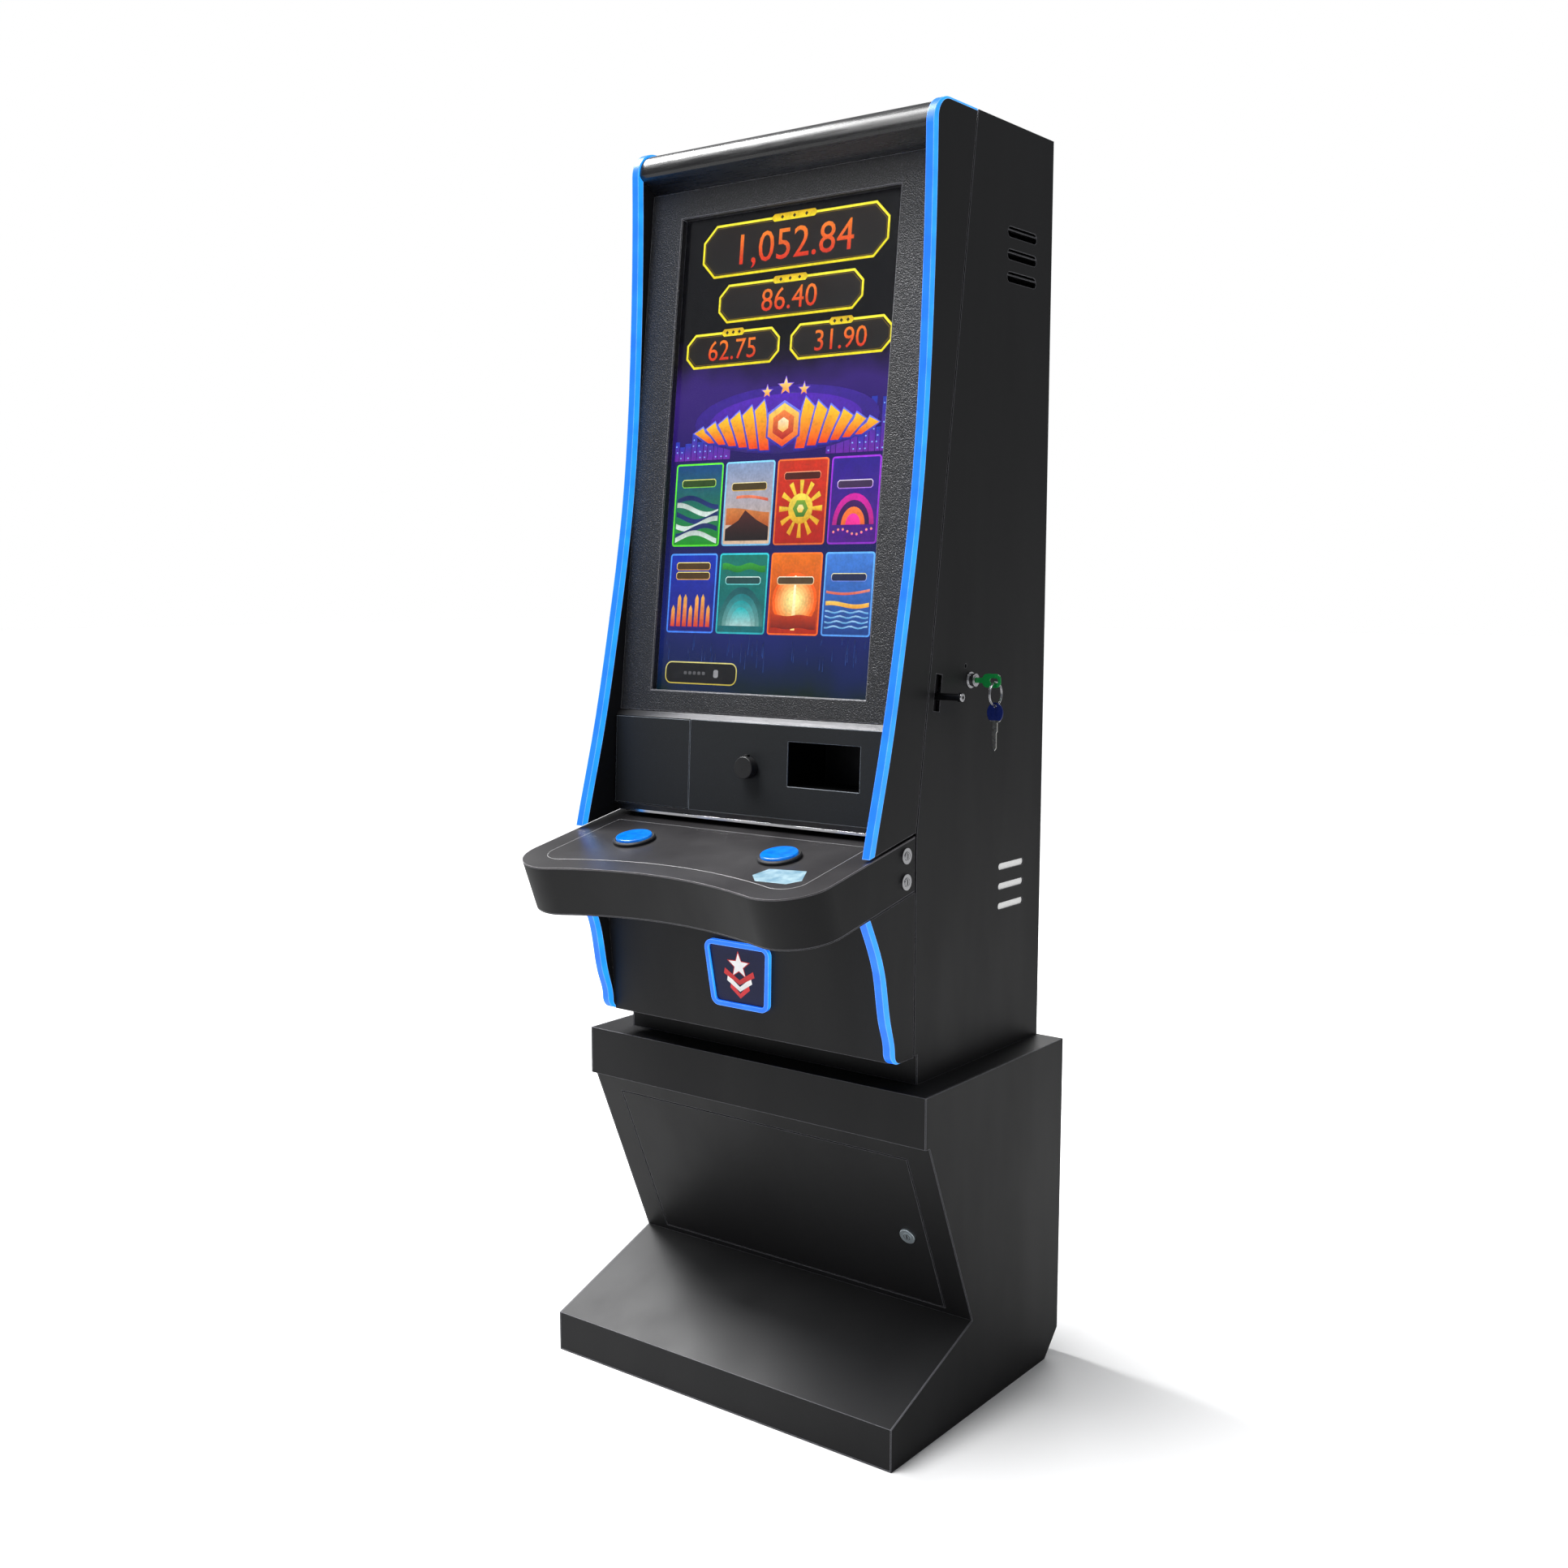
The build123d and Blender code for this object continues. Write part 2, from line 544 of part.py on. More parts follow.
with BuildPart() as fan_rotor:
    rotor_span = (-FAN_DEPTH + 4, -4)
    peg(FAN, (FAN_X, FAN_UP), HUB_RADIUS, rotor_span)
    for turn in range(BLADE_COUNT):
        angle = 2 * pi * turn / BLADE_COUNT
        sideways = FAN.y_dir * cos(angle) - FAN.x_dir * sin(angle)
        blade = Plane(
            origin=FAN.from_local_coords((FAN_X, FAN_UP, -FAN_DEPTH / 2)),
            x_dir=FAN.z_dir * sin(BLADE_PITCH) + sideways * cos(BLADE_PITCH),
            z_dir=FAN.x_dir * cos(angle) + FAN.y_dir * sin(angle),
        )
        block(blade, (-11, 11), (-0.9, 0.9), (HUB_RADIUS - 2, FAN_BORE - 2))
    peg(FAN, (FAN_X, FAN_UP), SPINDLE_RADIUS + RUNNING_CLEARANCE, (-FAN_DEPTH, -7), Mode.SUBTRACT)
save(fan_rotor, "fan_rotor")

with BuildPart() as power_supply:
    block(FLOOR_UP, (30, 180), (front(260), front(60)), (FLOOR_TOP, FLOOR_TOP + 65))
    fillet(power_supply.edges().filter_by(Axis.Z), 3)
save(power_supply, "power_supply")

COMPUTER_FOOT = BASE + 420
COMPUTER_DEPTH = 62
with BuildPart() as game_computer:
    block(BACK_OUT, (-140, 140), (COMPUTER_FOOT, COMPUTER_FOOT + 220), (-COMPUTER_DEPTH, -CABINET_SHEET))
    fillet(game_computer.edges().filter_by(Axis.Y), 3)
    for row in range(6):
        groove = COMPUTER_FOOT + 20 + 12 * row
        block(BACK_OUT, (-90, 90), (groove, groove + 4), (-COMPUTER_DEPTH - 1, 3 - COMPUTER_DEPTH),
              Mode.SUBTRACT)
save(game_computer, "game_computer")

SPEAKER_RADIUS = 38
SPEAKER_BOX = 90
SPEAKER_Y = front(105)
SPEAKER_FOOT = TOP - CABINET_SHEET - SPEAKER_BOX / 2
with BuildPart() as speakers:
    for x in (-150, 150):
        block(FLOOR_UP, (x - SPEAKER_BOX / 2, x + SPEAKER_BOX / 2),
              (SPEAKER_Y - SPEAKER_BOX / 2, SPEAKER_Y + SPEAKER_BOX / 2), (SPEAKER_FOOT, TOP - CABINET_SHEET))
        with BuildSketch(Plane.XY.offset(SPEAKER_FOOT)) as mouth:
            with Locations((x, SPEAKER_Y)):
                Circle(SPEAKER_RADIUS)
        extrude(mouth.sketch, amount=16, taper=35, mode=Mode.SUBTRACT)
save(speakers, "speakers")

# ================================================================ display door
TRIM_TOP_DEPTH = 337
TRIM_CURVE = [(344, 0.716), (368, 0.457), (404, 0.271), (441, 0.113)]
TRIM_FOOT = (482, -0.033)


def trim_height(share):
    """Height of a point of the door's front curve, as a share of the door's height."""
    return KNEE + share * (TOP - KNEE)


def door_outline(inset, top_inset, radius):
    """The door's side outline, with its curved front, its top and their round corner moved in."""
    arc_start = (front(TRIM_TOP_DEPTH - inset), TOP - top_inset - radius)
    arc_end = (front(TRIM_TOP_DEPTH - inset - radius), TOP - top_inset)
    foot = (front(TRIM_FOOT[0] - inset), trim_height(TRIM_FOOT[1]))
    curve = [(front(depth - inset), trim_height(share)) for depth, share in reversed(TRIM_CURVE)]
    rear = SEAM_GAP / cos(SEAM_TILT)
    with BuildSketch(Plane.YZ) as face:
        with BuildLine():
            Spline(foot, *curve, arc_start, tangents=[(0.24, 0.97), (0, 1)])
            TangentArc(arc_start, arc_end, tangent=(0, 1))
            Polyline(
                arc_end,
                (front(seam_depth(TOP - top_inset) + rear), TOP - top_inset),
                (front(seam_depth(foot[1]) + rear), foot[1]),
                foot,
            )
        make_face()
        with BuildLine():
            Polyline(*[(front(depth), height) for depth, height in [
                (200, deck_height(200) + DECK_GAP),
                (600, deck_height(600) + DECK_GAP),
                (600, trim_height(TRIM_FOOT[1]) - 60),
                (200, trim_height(TRIM_FOOT[1]) - 60),
            ]], close=True)
        make_face(mode=Mode.SUBTRACT)
    return face.sketch


def across_x(sketch, span, mode=Mode.ADD):
    """Extrude a sketch of the plane X = 0 from span[0] to span[1]."""
    extrude(sketch.moved(Location((span[0], 0, 0))), amount=span[1] - span[0], mode=mode)


CHEEK_SPANS = {"left": (-HALF_CAB, -INNER_CHEEK), "right": (INNER_CHEEK, HALF_CAB)}
door_body_outline = door_outline(TRIM_THICKNESS, TRIM_TOP_THICKNESS, TRIM_INNER_RADIUS)
door_full_outline = door_outline(0, 0, TRIM_CORNER_RADIUS)
for side, span in CHEEK_SPANS.items():
    with BuildPart() as door_cheek:
        across_x(door_body_outline, span)
    save(door_cheek, f"door_cheek_{side}")

with BuildPart() as door_light_trims:
    for span in CHEEK_SPANS.values():
        across_x(door_full_outline, span)
        across_x(door_body_outline, (span[0] - 1, span[1] + 1), Mode.SUBTRACT)
save(door_light_trims, "door_light_trims")

HOOD_SHEET = 2.5
BEZEL_TOP_DEPTH = DISPLAY_BOTTOM_DEPTH - (BEZEL_TOP_HEIGHT - KNEE - DISPLAY_RISE) * tan(radians(BEZEL_TILT))
HOOD_FRONT_DEPTH = TRIM_TOP_DEPTH - 4
HOOD_RADIUS = 34
HOOD_TOP = TOP - 4
with BuildPart() as door_hood:
    rear = seam_depth(TOP) + SEAM_GAP
    with BuildSketch(Plane.YZ) as hood_face:
        with BuildLine():
            Polyline((front(rear), BEZEL_TOP_HEIGHT), (front(rear), HOOD_TOP),
                     (front(HOOD_FRONT_DEPTH - HOOD_RADIUS), HOOD_TOP))
            TangentArc((front(HOOD_FRONT_DEPTH - HOOD_RADIUS), HOOD_TOP),
                       (front(HOOD_FRONT_DEPTH), HOOD_TOP - HOOD_RADIUS), tangent=(-1, 0))
            Polyline(
                (front(HOOD_FRONT_DEPTH), HOOD_TOP - HOOD_RADIUS),
                (front(HOOD_FRONT_DEPTH - 3), HOOD_TOP - 38),
                (front(BEZEL_TOP_DEPTH), BEZEL_TOP_HEIGHT),
                (front(rear), BEZEL_TOP_HEIGHT),
            )
        make_face()
        offset(amount=-HOOD_SHEET, mode=Mode.SUBTRACT)
        with BuildLine():
            Polyline(
                (front(rear - 5), HOOD_TOP - HOOD_SHEET),
                (front(rear - 5), BEZEL_TOP_HEIGHT - 5),
                (front(BEZEL_TOP_DEPTH - 6), BEZEL_TOP_HEIGHT - 5),
                (front(BEZEL_TOP_DEPTH - 6), HOOD_TOP - HOOD_SHEET),
                close=True,
            )
        make_face(mode=Mode.SUBTRACT)
    across_x(hood_face.sketch, (-INNER_CHEEK, INNER_CHEEK))
save(door_hood, "door_hood")

BEZEL_DOWN = 32.6
BEZEL_UP = (BEZEL_TOP_HEIGHT - KNEE - DISPLAY_RISE) / cos(radians(BEZEL_TILT))
HALF_DISPLAY = DISPLAY_WIDTH / 2
with BuildPart() as display_bezel:
    block(BEZEL, (-INNER_CHEEK, INNER_CHEEK), (-BEZEL_DOWN, BEZEL_UP - 0.5), (-BEZEL_SHEET, 0))
    wall = 2
    block(BEZEL, (-HALF_DISPLAY - wall, HALF_DISPLAY + wall), (-wall, DISPLAY_LENGTH + wall),
          (-DISPLAY_RECESS, -BEZEL_SHEET))
    block(BEZEL, (-HALF_DISPLAY, HALF_DISPLAY), (0, DISPLAY_LENGTH), (-20, 5), Mode.SUBTRACT)
    rim = display_bezel.faces().filter_by(lambda face: abs(face.normal_at().dot(BEZEL.z_dir) - 1) < 1e-3)
    chamfer(rim.sort_by(SortBy.AREA)[-1].inner_wires()[0].edges(), 1.6)
save(display_bezel, "display_bezel")

GLASS_BACK = -DISPLAY_RECESS - GLASS_THICKNESS
GLASS_SPAN = (-HALF_DISPLAY - GLASS_LAP, HALF_DISPLAY + GLASS_LAP)
GLASS_UP = (-GLASS_LAP, DISPLAY_LENGTH + GLASS_LAP)
with BuildPart() as touch_glass:
    block(BEZEL, GLASS_SPAN, GLASS_UP, (GLASS_BACK, -DISPLAY_RECESS))
save(touch_glass, "touch_glass")

LCD_BACK = GLASS_BACK - LCD_THICKNESS
with BuildPart() as lcd_panel:
    block(BEZEL, GLASS_SPAN, GLASS_UP, (LCD_BACK, GLASS_BACK))
    block(BEZEL, (-90, 90), (260, 420), (LCD_BACK - 8, LCD_BACK))
save(lcd_panel, "lcd_panel")

with BuildPart() as monitor_brackets:
    for low, high in ((90, 120), (DISPLAY_LENGTH - 120, DISPLAY_LENGTH - 90)):
        block(BEZEL, (-INNER_CHEEK, INNER_CHEEK), (low, high), (LCD_BACK - 3, LCD_BACK))
save(monitor_brackets, "monitor_brackets")

LEDGE_TOP = KNEE + LEDGE_RISE
LEDGE_FOOT = (BILL_PANEL_DEPTH - 6, KNEE + BILL_PANEL_RISE + BILL_PANEL_LENGTH)
ACCEPTOR_SPAN = (ACCEPTOR_X - ACCEPTOR_WIDTH / 2, ACCEPTOR_X + ACCEPTOR_WIDTH / 2)
ACCEPTOR_UP = (ACCEPTOR_BOTTOM, ACCEPTOR_BOTTOM + ACCEPTOR_HEIGHT)
KNOB_BUSH_RADIUS = 5
with BuildPart() as bill_panel:
    block(BILL, (FLAP_EDGE_X, INNER_CHEEK), (0, BILL_PANEL_LENGTH), (-PANEL_SHEET, 0))
    block(BILL, ACCEPTOR_SPAN, ACCEPTOR_UP, (-10, 10), Mode.SUBTRACT)
    peg(BILL, (KNOB_ACROSS, KNOB_UP), KNOB_BUSH_RADIUS + RUNNING_CLEARANCE, (-10, 10), Mode.SUBTRACT)
save(bill_panel, "bill_panel")

with BuildPart() as bill_acceptor_cage:
    wall = 2
    block(BILL, (ACCEPTOR_SPAN[0] - wall, ACCEPTOR_SPAN[1] + wall),
          (ACCEPTOR_UP[0] - wall, ACCEPTOR_UP[1] + wall), (-PANEL_SHEET - ACCEPTOR_LENGTH, -PANEL_SHEET))
    block(BILL, ACCEPTOR_SPAN, ACCEPTOR_UP, (-PANEL_SHEET - ACCEPTOR_LENGTH + wall, 1), Mode.SUBTRACT)
save(bill_acceptor_cage, "bill_acceptor_cage")

with BuildPart() as knob:
    peg(BILL, (KNOB_ACROSS, KNOB_UP), KNOB_RADIUS - 2, (SEAT_GAP, 4))
    peg(BILL, (KNOB_ACROSS, KNOB_UP), KNOB_RADIUS, (4, KNOB_HEIGHT))
    fillet(knob.faces().sort_by(Axis(BILL.origin, BILL.z_dir))[-1].edges(), 1.5)
    peg(BILL, (KNOB_ACROSS, KNOB_UP), KNOB_BUSH_RADIUS, (-14, SEAT_GAP))
    peg(BILL, (KNOB_ACROSS, KNOB_UP), 9, (-8, -PANEL_SHEET - SEAT_GAP))
    grip_foot = KNOB_UP + KNOB_RADIUS
    block(BILL, (KNOB_ACROSS - 3, KNOB_ACROSS + 3), (grip_foot - 2, grip_foot + 3), (5, 11))
save(knob, "knob")

FLAP_LEFT = -INNER_CHEEK + FLAP_GAP
FLAP_RIGHT = FLAP_EDGE_X - FLAP_GAP
FLAP_PIN_X = FLAP_LEFT + HINGE_INSET
FLAP_UP = (1, BILL_PANEL_LENGTH - 1)
FLAP_RETURN = 10
FLAP_PIN_RADIUS = 1.5
flap_pin = Plane(origin=BILL.from_local_coords((FLAP_PIN_X, 0, -HINGE_INSET)), x_dir=(1, 0, 0),
                 z_dir=BILL.y_dir)
with BuildPart() as access_flap:
    block(BILL, (FLAP_LEFT + 1, FLAP_RIGHT), FLAP_UP, (-PANEL_SHEET, 0))
    for low in (FLAP_UP[0], FLAP_UP[1] - 2):
        block(BILL, (FLAP_LEFT + 1, FLAP_RIGHT), (low, low + 2), (-FLAP_RETURN, -PANEL_SHEET))
    peg(flap_pin, (0, 0), FLAP_PIN_RADIUS + RUNNING_CLEARANCE, (-5, BILL_PANEL_LENGTH + 5), Mode.SUBTRACT)
save(access_flap, "access_flap")

SILL_TOP = KNEE + BILL_PANEL_RISE - PANEL_SHEET * sin(radians(BILL_PANEL_TILT))
STRIP_HEIGHT = 4
STRIP_DROP = 10
with BuildPart() as door_crossbars:
    side_prism([
        LEDGE_FOOT,
        (LEDGE_FOOT[0] - 11.5, LEDGE_TOP - 1),
        (LEDGE_FOOT[0] - 14, LEDGE_TOP - 3),
        (LEDGE_FOOT[0] - 2.3, LEDGE_FOOT[1]),
    ], (-INNER_CHEEK, INNER_CHEEK))
    side_prism([
        (BILL_PANEL_DEPTH, SILL_TOP),
        (BILL_PANEL_DEPTH, SILL_TOP - PANEL_SHEET),
        (DECK_START_DEPTH, SILL_TOP - PANEL_SHEET),
        (DECK_START_DEPTH, SILL_TOP),
    ], (-INNER_CHEEK, INNER_CHEEK))
    block(FLOOR_UP, (-INNER_CHEEK, INNER_CHEEK), (front(BILL_PANEL_DEPTH - 4), front(BILL_PANEL_DEPTH - 6)),
          (SILL_TOP - STRIP_DROP - 1, SILL_TOP - PANEL_SHEET))
    # pins that carry the flap, standing on the sill and held under the ledge
    peg(flap_pin, (0, 0), FLAP_PIN_RADIUS, (0.05, 12))
    block(BILL, (-INNER_CHEEK, FLAP_LEFT + 12), (BILL_PANEL_LENGTH - 0.5, BILL_PANEL_LENGTH + 2),
          (-FLAP_RETURN - 2, -3.2))
    peg(flap_pin, (0, 0), FLAP_PIN_RADIUS, (BILL_PANEL_LENGTH - 12, BILL_PANEL_LENGTH))
save(door_crossbars, "door_crossbars")

STRIP_HALF = INNER_CHEEK - 25
with BuildPart() as chrome_strip:
    block(FLOOR_UP, (-STRIP_HALF, STRIP_HALF), (front(BILL_PANEL_DEPTH), front(BILL_PANEL_DEPTH - 4)),
          (SILL_TOP - STRIP_DROP - 2, SILL_TOP - STRIP_DROP + STRIP_HEIGHT - 2))
save(chrome_strip, "chrome_strip")

# ---------------------------------------------------------------- door hinges and latch
HINGE_RADIUS = 5
HINGE_X = -HALF_CAB - HINGE_RADIUS
HINGE_OUT = SEAM_GAP / 2
HINGE_LENGTH = 60
HINGE_ROWS = [70, (SEAM_LENGTH - HINGE_LENGTH) / 2, SEAM_LENGTH - HINGE_LENGTH - 60]
HINGE_PIN_RADIUS = 2.5
LEAF = (-HALF_CAB - 2, -HALF_CAB)
hinge_line = Plane(origin=SEAM.from_local_coords((HINGE_X, 0, HINGE_OUT)), x_dir=(1, 0, 0), z_dir=SEAM.y_dir)
KNUCKLE_GAP = 0.3

with BuildPart() as hinge_leaves_fixed:
    for low in HINGE_ROWS:
        third = HINGE_LENGTH / 3
        block(SEAM, LEAF, (low, low + HINGE_LENGTH), (-28, HINGE_OUT - HINGE_RADIUS - 1.5))
        for start in (low, low + 2 * third):
            block(SEAM, (HINGE_X, LEAF[1]), (start, start + third), (HINGE_OUT - HINGE_RADIUS - 2, HINGE_OUT))
            block(SEAM, (HINGE_X - 1, LEAF[0]), (start, start + third),
                  (HINGE_OUT - HINGE_RADIUS - 3, HINGE_OUT - HINGE_RADIUS), Mode.SUBTRACT)
            peg(hinge_line, (0, 0), HINGE_RADIUS, (start, start + third))
        peg(hinge_line, (0, 0), HINGE_PIN_RADIUS, (low, low + HINGE_LENGTH))
save(hinge_leaves_fixed, "hinge_leaves_fixed")

with BuildPart() as hinge_leaves_door:
    for low in HINGE_ROWS:
        third = HINGE_LENGTH / 3
        middle = (low + third + KNUCKLE_GAP, low + 2 * third - KNUCKLE_GAP)
        block(SEAM, LEAF, (low, low + HINGE_LENGTH), (HINGE_OUT + HINGE_RADIUS + 1.5, 31))
        block(SEAM, (LEAF[0] - 0.5, LEAF[1]), middle, (HINGE_OUT + 1, HINGE_OUT + HINGE_RADIUS + 2))
        peg(hinge_line, (0, 0), HINGE_RADIUS, middle)
        peg(hinge_line, (0, 0), HINGE_PIN_RADIUS + RUNNING_CLEARANCE, (low - 1, low + HINGE_LENGTH + 1),
            Mode.SUBTRACT)
save(hinge_leaves_door, "hinge_leaves_door")

# the latch bar slides up and down behind the right side, and its hooks catch the strikers
BAR = (INNER_CAB - 7, INNER_CAB - 3)
BAR_OUT = (-30, -16)
BAR_UP = (40, SEAM_LENGTH - 120)
STRIKER_ROWS = [80, SEAM_LENGTH / 2, SEAM_LENGTH - 170]
HOOK = (BAR[0] - 4.5, BAR[0])
STRIKER_OUT = -18
with BuildPart() as release_lever:
    block(SEAM, BAR, BAR_UP, BAR_OUT)
    for row in STRIKER_ROWS:
        block(SEAM, HOOK, (row + 16, row + 30), (-26, -8))
        block(SEAM, HOOK, (row + 4, row + 16), (-12, -8))
    rod = Plane(origin=SEAM.from_local_coords((BAR[1], LEVER_UP, -LEVER_BEHIND)), x_dir=SEAM.z_dir,
                z_dir=(1, 0, 0))
    peg(rod, (0, 0), LEVER_ROD_RADIUS, (0, HALF_CAB - BAR[1] + 36))
    peg(rod, (0, 0), 6.5, (HALF_CAB - BAR[1] + 36, HALF_CAB - BAR[1] + 39))
save(release_lever, "release_lever")

with BuildPart() as door_frame:
    lip = 6
    frame_up = (6, SEAM_LENGTH - 16)
    block(SEAM, (-INNER_CAB, INNER_CAB), frame_up, (-PANEL_SHEET, 0))
    block(SEAM, (-INNER_CAB + lip, INNER_CAB - lip), (frame_up[0] + 22, frame_up[1] - 22), (-5, 5),
          Mode.SUBTRACT)
    for row in (60, SEAM_LENGTH / 2 - 60, SEAM_LENGTH - 210):
        for low in (BAR_OUT[0] - SEAT_GAP - 3, BAR_OUT[1] + SEAT_GAP):
            block(SEAM, (BAR[0], INNER_CAB), (row, row + 12), (low, low + 3))
save(door_frame, "door_frame")

KEEPER_X = (HALF_CAB - 32, HALF_CAB - 28)
KEEPER_UP = (160, 174)
KEEPER_DEPTH = 214
with BuildPart() as door_strikers:
    for row in STRIKER_ROWS:
        block(SEAM, (HOOK[0] - 5, HOOK[0] - 2), (row - 7, row + 7), (-24, 26))
        block(SEAM, (HOOK[0] - 5, INNER_CHEEK), (row - 7, row + 7), (16, 26))
        striker = Plane(origin=SEAM.from_local_coords((HOOK[0] - 2, row, STRIKER_OUT)), x_dir=SEAM.z_dir,
                        z_dir=(1, 0, 0))
        peg(striker, (0, 0), 2.5, (0, 6))
    keeper_end = seam_depth(MAIN_LOCK[1]) - KEEPER_DEPTH
    block(SEAM, KEEPER_X, KEEPER_UP, (-keeper_end, 26))
    block(SEAM, (KEEPER_X[0], INNER_CHEEK), KEEPER_UP, (16, 26))
    block(SEAM, (KEEPER_X[0] - 7, KEEPER_X[0]), KEEPER_UP, (-keeper_end, -keeper_end + 3))
save(door_strikers, "door_strikers")

# ---------------------------------------------------------------- main lock and keys
MAIN_BARREL = 31
MAIN_CAM_REACH = 50
with BuildPart() as main_lock_plug:
    peg(RIGHT_OUT, MAIN_LOCK, SHAFT_RADIUS, (-MAIN_BARREL - 2, 12))
    block(RIGHT_OUT, (MAIN_LOCK[0] - 1.3, MAIN_LOCK[0] + 1.3), (MAIN_LOCK[1] - 4, MAIN_LOCK[1] + 4), (2, 13),
          Mode.SUBTRACT)
    block(RIGHT_OUT, (MAIN_LOCK[0] - MAIN_CAM_REACH, MAIN_LOCK[0] + 8), (MAIN_LOCK[1] - 8, MAIN_LOCK[1] + 8),
          (-MAIN_BARREL - 3.5, -MAIN_BARREL - 1.5))
save(main_lock_plug, "main_lock_plug")

KEY_THICKNESS = 2.2
BOW_HOLE_HEIGHT = 7.5
RING_PLAY = 0.85
BOW_OUT = 22
BOW_LENGTH = 30
BOW_HALF = 10
RING_WIRE = 0.9
RING_RADIUS = 17
RING_X = HALF_CAB + BOW_OUT + BOW_LENGTH - 8.5
KEY_FACE = Plane(origin=(0, MAIN_LOCK[0], 0), x_dir=(1, 0, 0), z_dir=(0, -1, 0))
with BuildPart() as green_key:
    block(RIGHT_OUT, (MAIN_LOCK[0] - 1.1, MAIN_LOCK[0] + 1.1), (MAIN_LOCK[1] - 3.8, MAIN_LOCK[1] + 3.8),
          (3, BOW_OUT + 2))
    with BuildSketch(KEY_FACE.offset(-KEY_THICKNESS / 2)) as bow:
        with Locations((HALF_CAB + BOW_OUT + BOW_LENGTH / 2, MAIN_LOCK[1])):
            RectangleRounded(BOW_LENGTH, 2 * BOW_HALF, 8)
        with Locations((RING_X - 2.5, MAIN_LOCK[1])):
            SlotOverall(14, BOW_HOLE_HEIGHT, mode=Mode.SUBTRACT)
    extrude(bow.sketch, amount=KEY_THICKNESS)
save(green_key, "green_key")

RING_TOP = MAIN_LOCK[1] - BOW_HOLE_HEIGHT / 2 + RING_WIRE * 1.05 + RING_PLAY
ring_plane = Plane(origin=(RING_X, MAIN_LOCK[0], RING_TOP - RING_RADIUS), x_dir=(0, 1, 0), z_dir=(1, 0, 0))
with BuildPart() as key_ring:
    with BuildSketch(Plane(origin=ring_plane.origin, x_dir=(1, 0, 0), z_dir=(0, -1, 0))) as wire:
        for lean in (-RING_WIRE, RING_WIRE):
            with Locations((lean, RING_RADIUS)):
                Circle(RING_WIRE * 1.05)
    revolve(wire.sketch, Axis(ring_plane.origin, (1, 0, 0)))
save(key_ring, "key_ring")

HANG = RING_TOP - 2 * RING_RADIUS
with BuildPart() as blue_key:
    with BuildSketch(KEY_FACE.offset(-KEY_THICKNESS / 2)) as bow:
        with Locations((RING_X, HANG - 10)):
            Ellipse(13, 15)
        with Locations((RING_X, HANG)):
            Circle(2 * RING_WIRE + 0.95, mode=Mode.SUBTRACT)
    extrude(bow.sketch, amount=KEY_THICKNESS)
    with BuildSketch(KEY_FACE.offset(-1)) as blade:
        with BuildLine():
            Polyline(
                (RING_X - 4, HANG - 22),
                (RING_X + 4, HANG - 22),
                (RING_X + 4, HANG - 37),
                (RING_X + 2.6, HANG - 39),
                (RING_X + 2.6, HANG - 61),
                (RING_X, HANG - 65),
                (RING_X - 2.6, HANG - 61),
                (RING_X - 4, HANG - 50),
                close=True,
            )
        make_face()
    extrude(blade.sketch, amount=2)
save(blue_key, "blue_key")

# ================================================================ deck
HALF_DECK = DECK_WIDTH / 2
APRON_LENGTH = hypot(APRON_SHIFT, APRON_DROP)
APRON_DIR = (0, APRON_SHIFT / APRON_LENGTH, -APRON_DROP / APRON_LENGTH)


def deck_outline(inset):
    """The deck's outline: round front corners joined by one tangent hollow curve."""
    half = HALF_DECK - inset
    corner = DECK_CORNER_RADIUS - inset
    corner_x = HALF_DECK - DECK_CORNER_RADIUS
    corner_v = DECK_REACH - DECK_CORNER_RADIUS
    waist = DECK_WAIST - inset
    rise = waist - corner_v
    hollow = (corner_x ** 2 + rise ** 2 - corner ** 2) / (2 * (corner - rise))
    hollow_v = waist + hollow
    reach = hypot(corner_x, hollow_v - corner_v)
    touch_x = corner_x - corner * corner_x / reach
    touch_v = corner_v + corner * (hollow_v - corner_v) / reach
    with BuildSketch(DECK) as face:
        with BuildLine():
            Line((half, DECK_BACK), (half, -corner_v))
            ThreePointArc(
                (half, -corner_v),
                (corner_x + corner * sin(radians(45)), -corner_v - corner * cos(radians(45))),
                (touch_x, -touch_v),
            )
            ThreePointArc((touch_x, -touch_v), (0, -waist), (-touch_x, -touch_v))
            ThreePointArc(
                (-touch_x, -touch_v),
                (-corner_x - corner * sin(radians(45)), -corner_v - corner * cos(radians(45))),
                (-half, -corner_v),
            )
            Line((-half, -corner_v), (-half, DECK_BACK))
            Line((-half, DECK_BACK), (half, DECK_BACK))
        make_face()
    return face.sketch


def deck_slice(start, end, inset=0, mode=Mode.ADD):
    """The deck's slanting body between two distances down the apron."""
    shift = Location((0, APRON_DIR[1] * start, APRON_DIR[2] * start))
    extrude(deck_outline(inset).moved(shift), amount=end - start, dir=APRON_DIR, mode=mode)


def trim_deck_back():
    """Cut the deck off at the front of the cabinet's sides."""
    cut = front(SEAM_KNEE_DEPTH + SEAM_GAP)
    block(FLOOR_UP, (-HALF_DECK - 5, HALF_DECK + 5), (cut, cut + 80), (KNEE - 150, KNEE + 20), Mode.SUBTRACT)


DECK_SHEET = 2
SHEET_RUN = DECK_SHEET / cos(DECK_TILT)
with BuildPart() as deck_top:
    deck_slice(0, SHEET_RUN)
    trim_deck_back()
    for x in (-BUTTON_X, BUTTON_X):
        peg(DECK, (x, -BUTTON_REACH), BUTTON_BARREL_RADIUS + 0.5, (-10, 10), Mode.SUBTRACT)
save(deck_top, "deck_top")

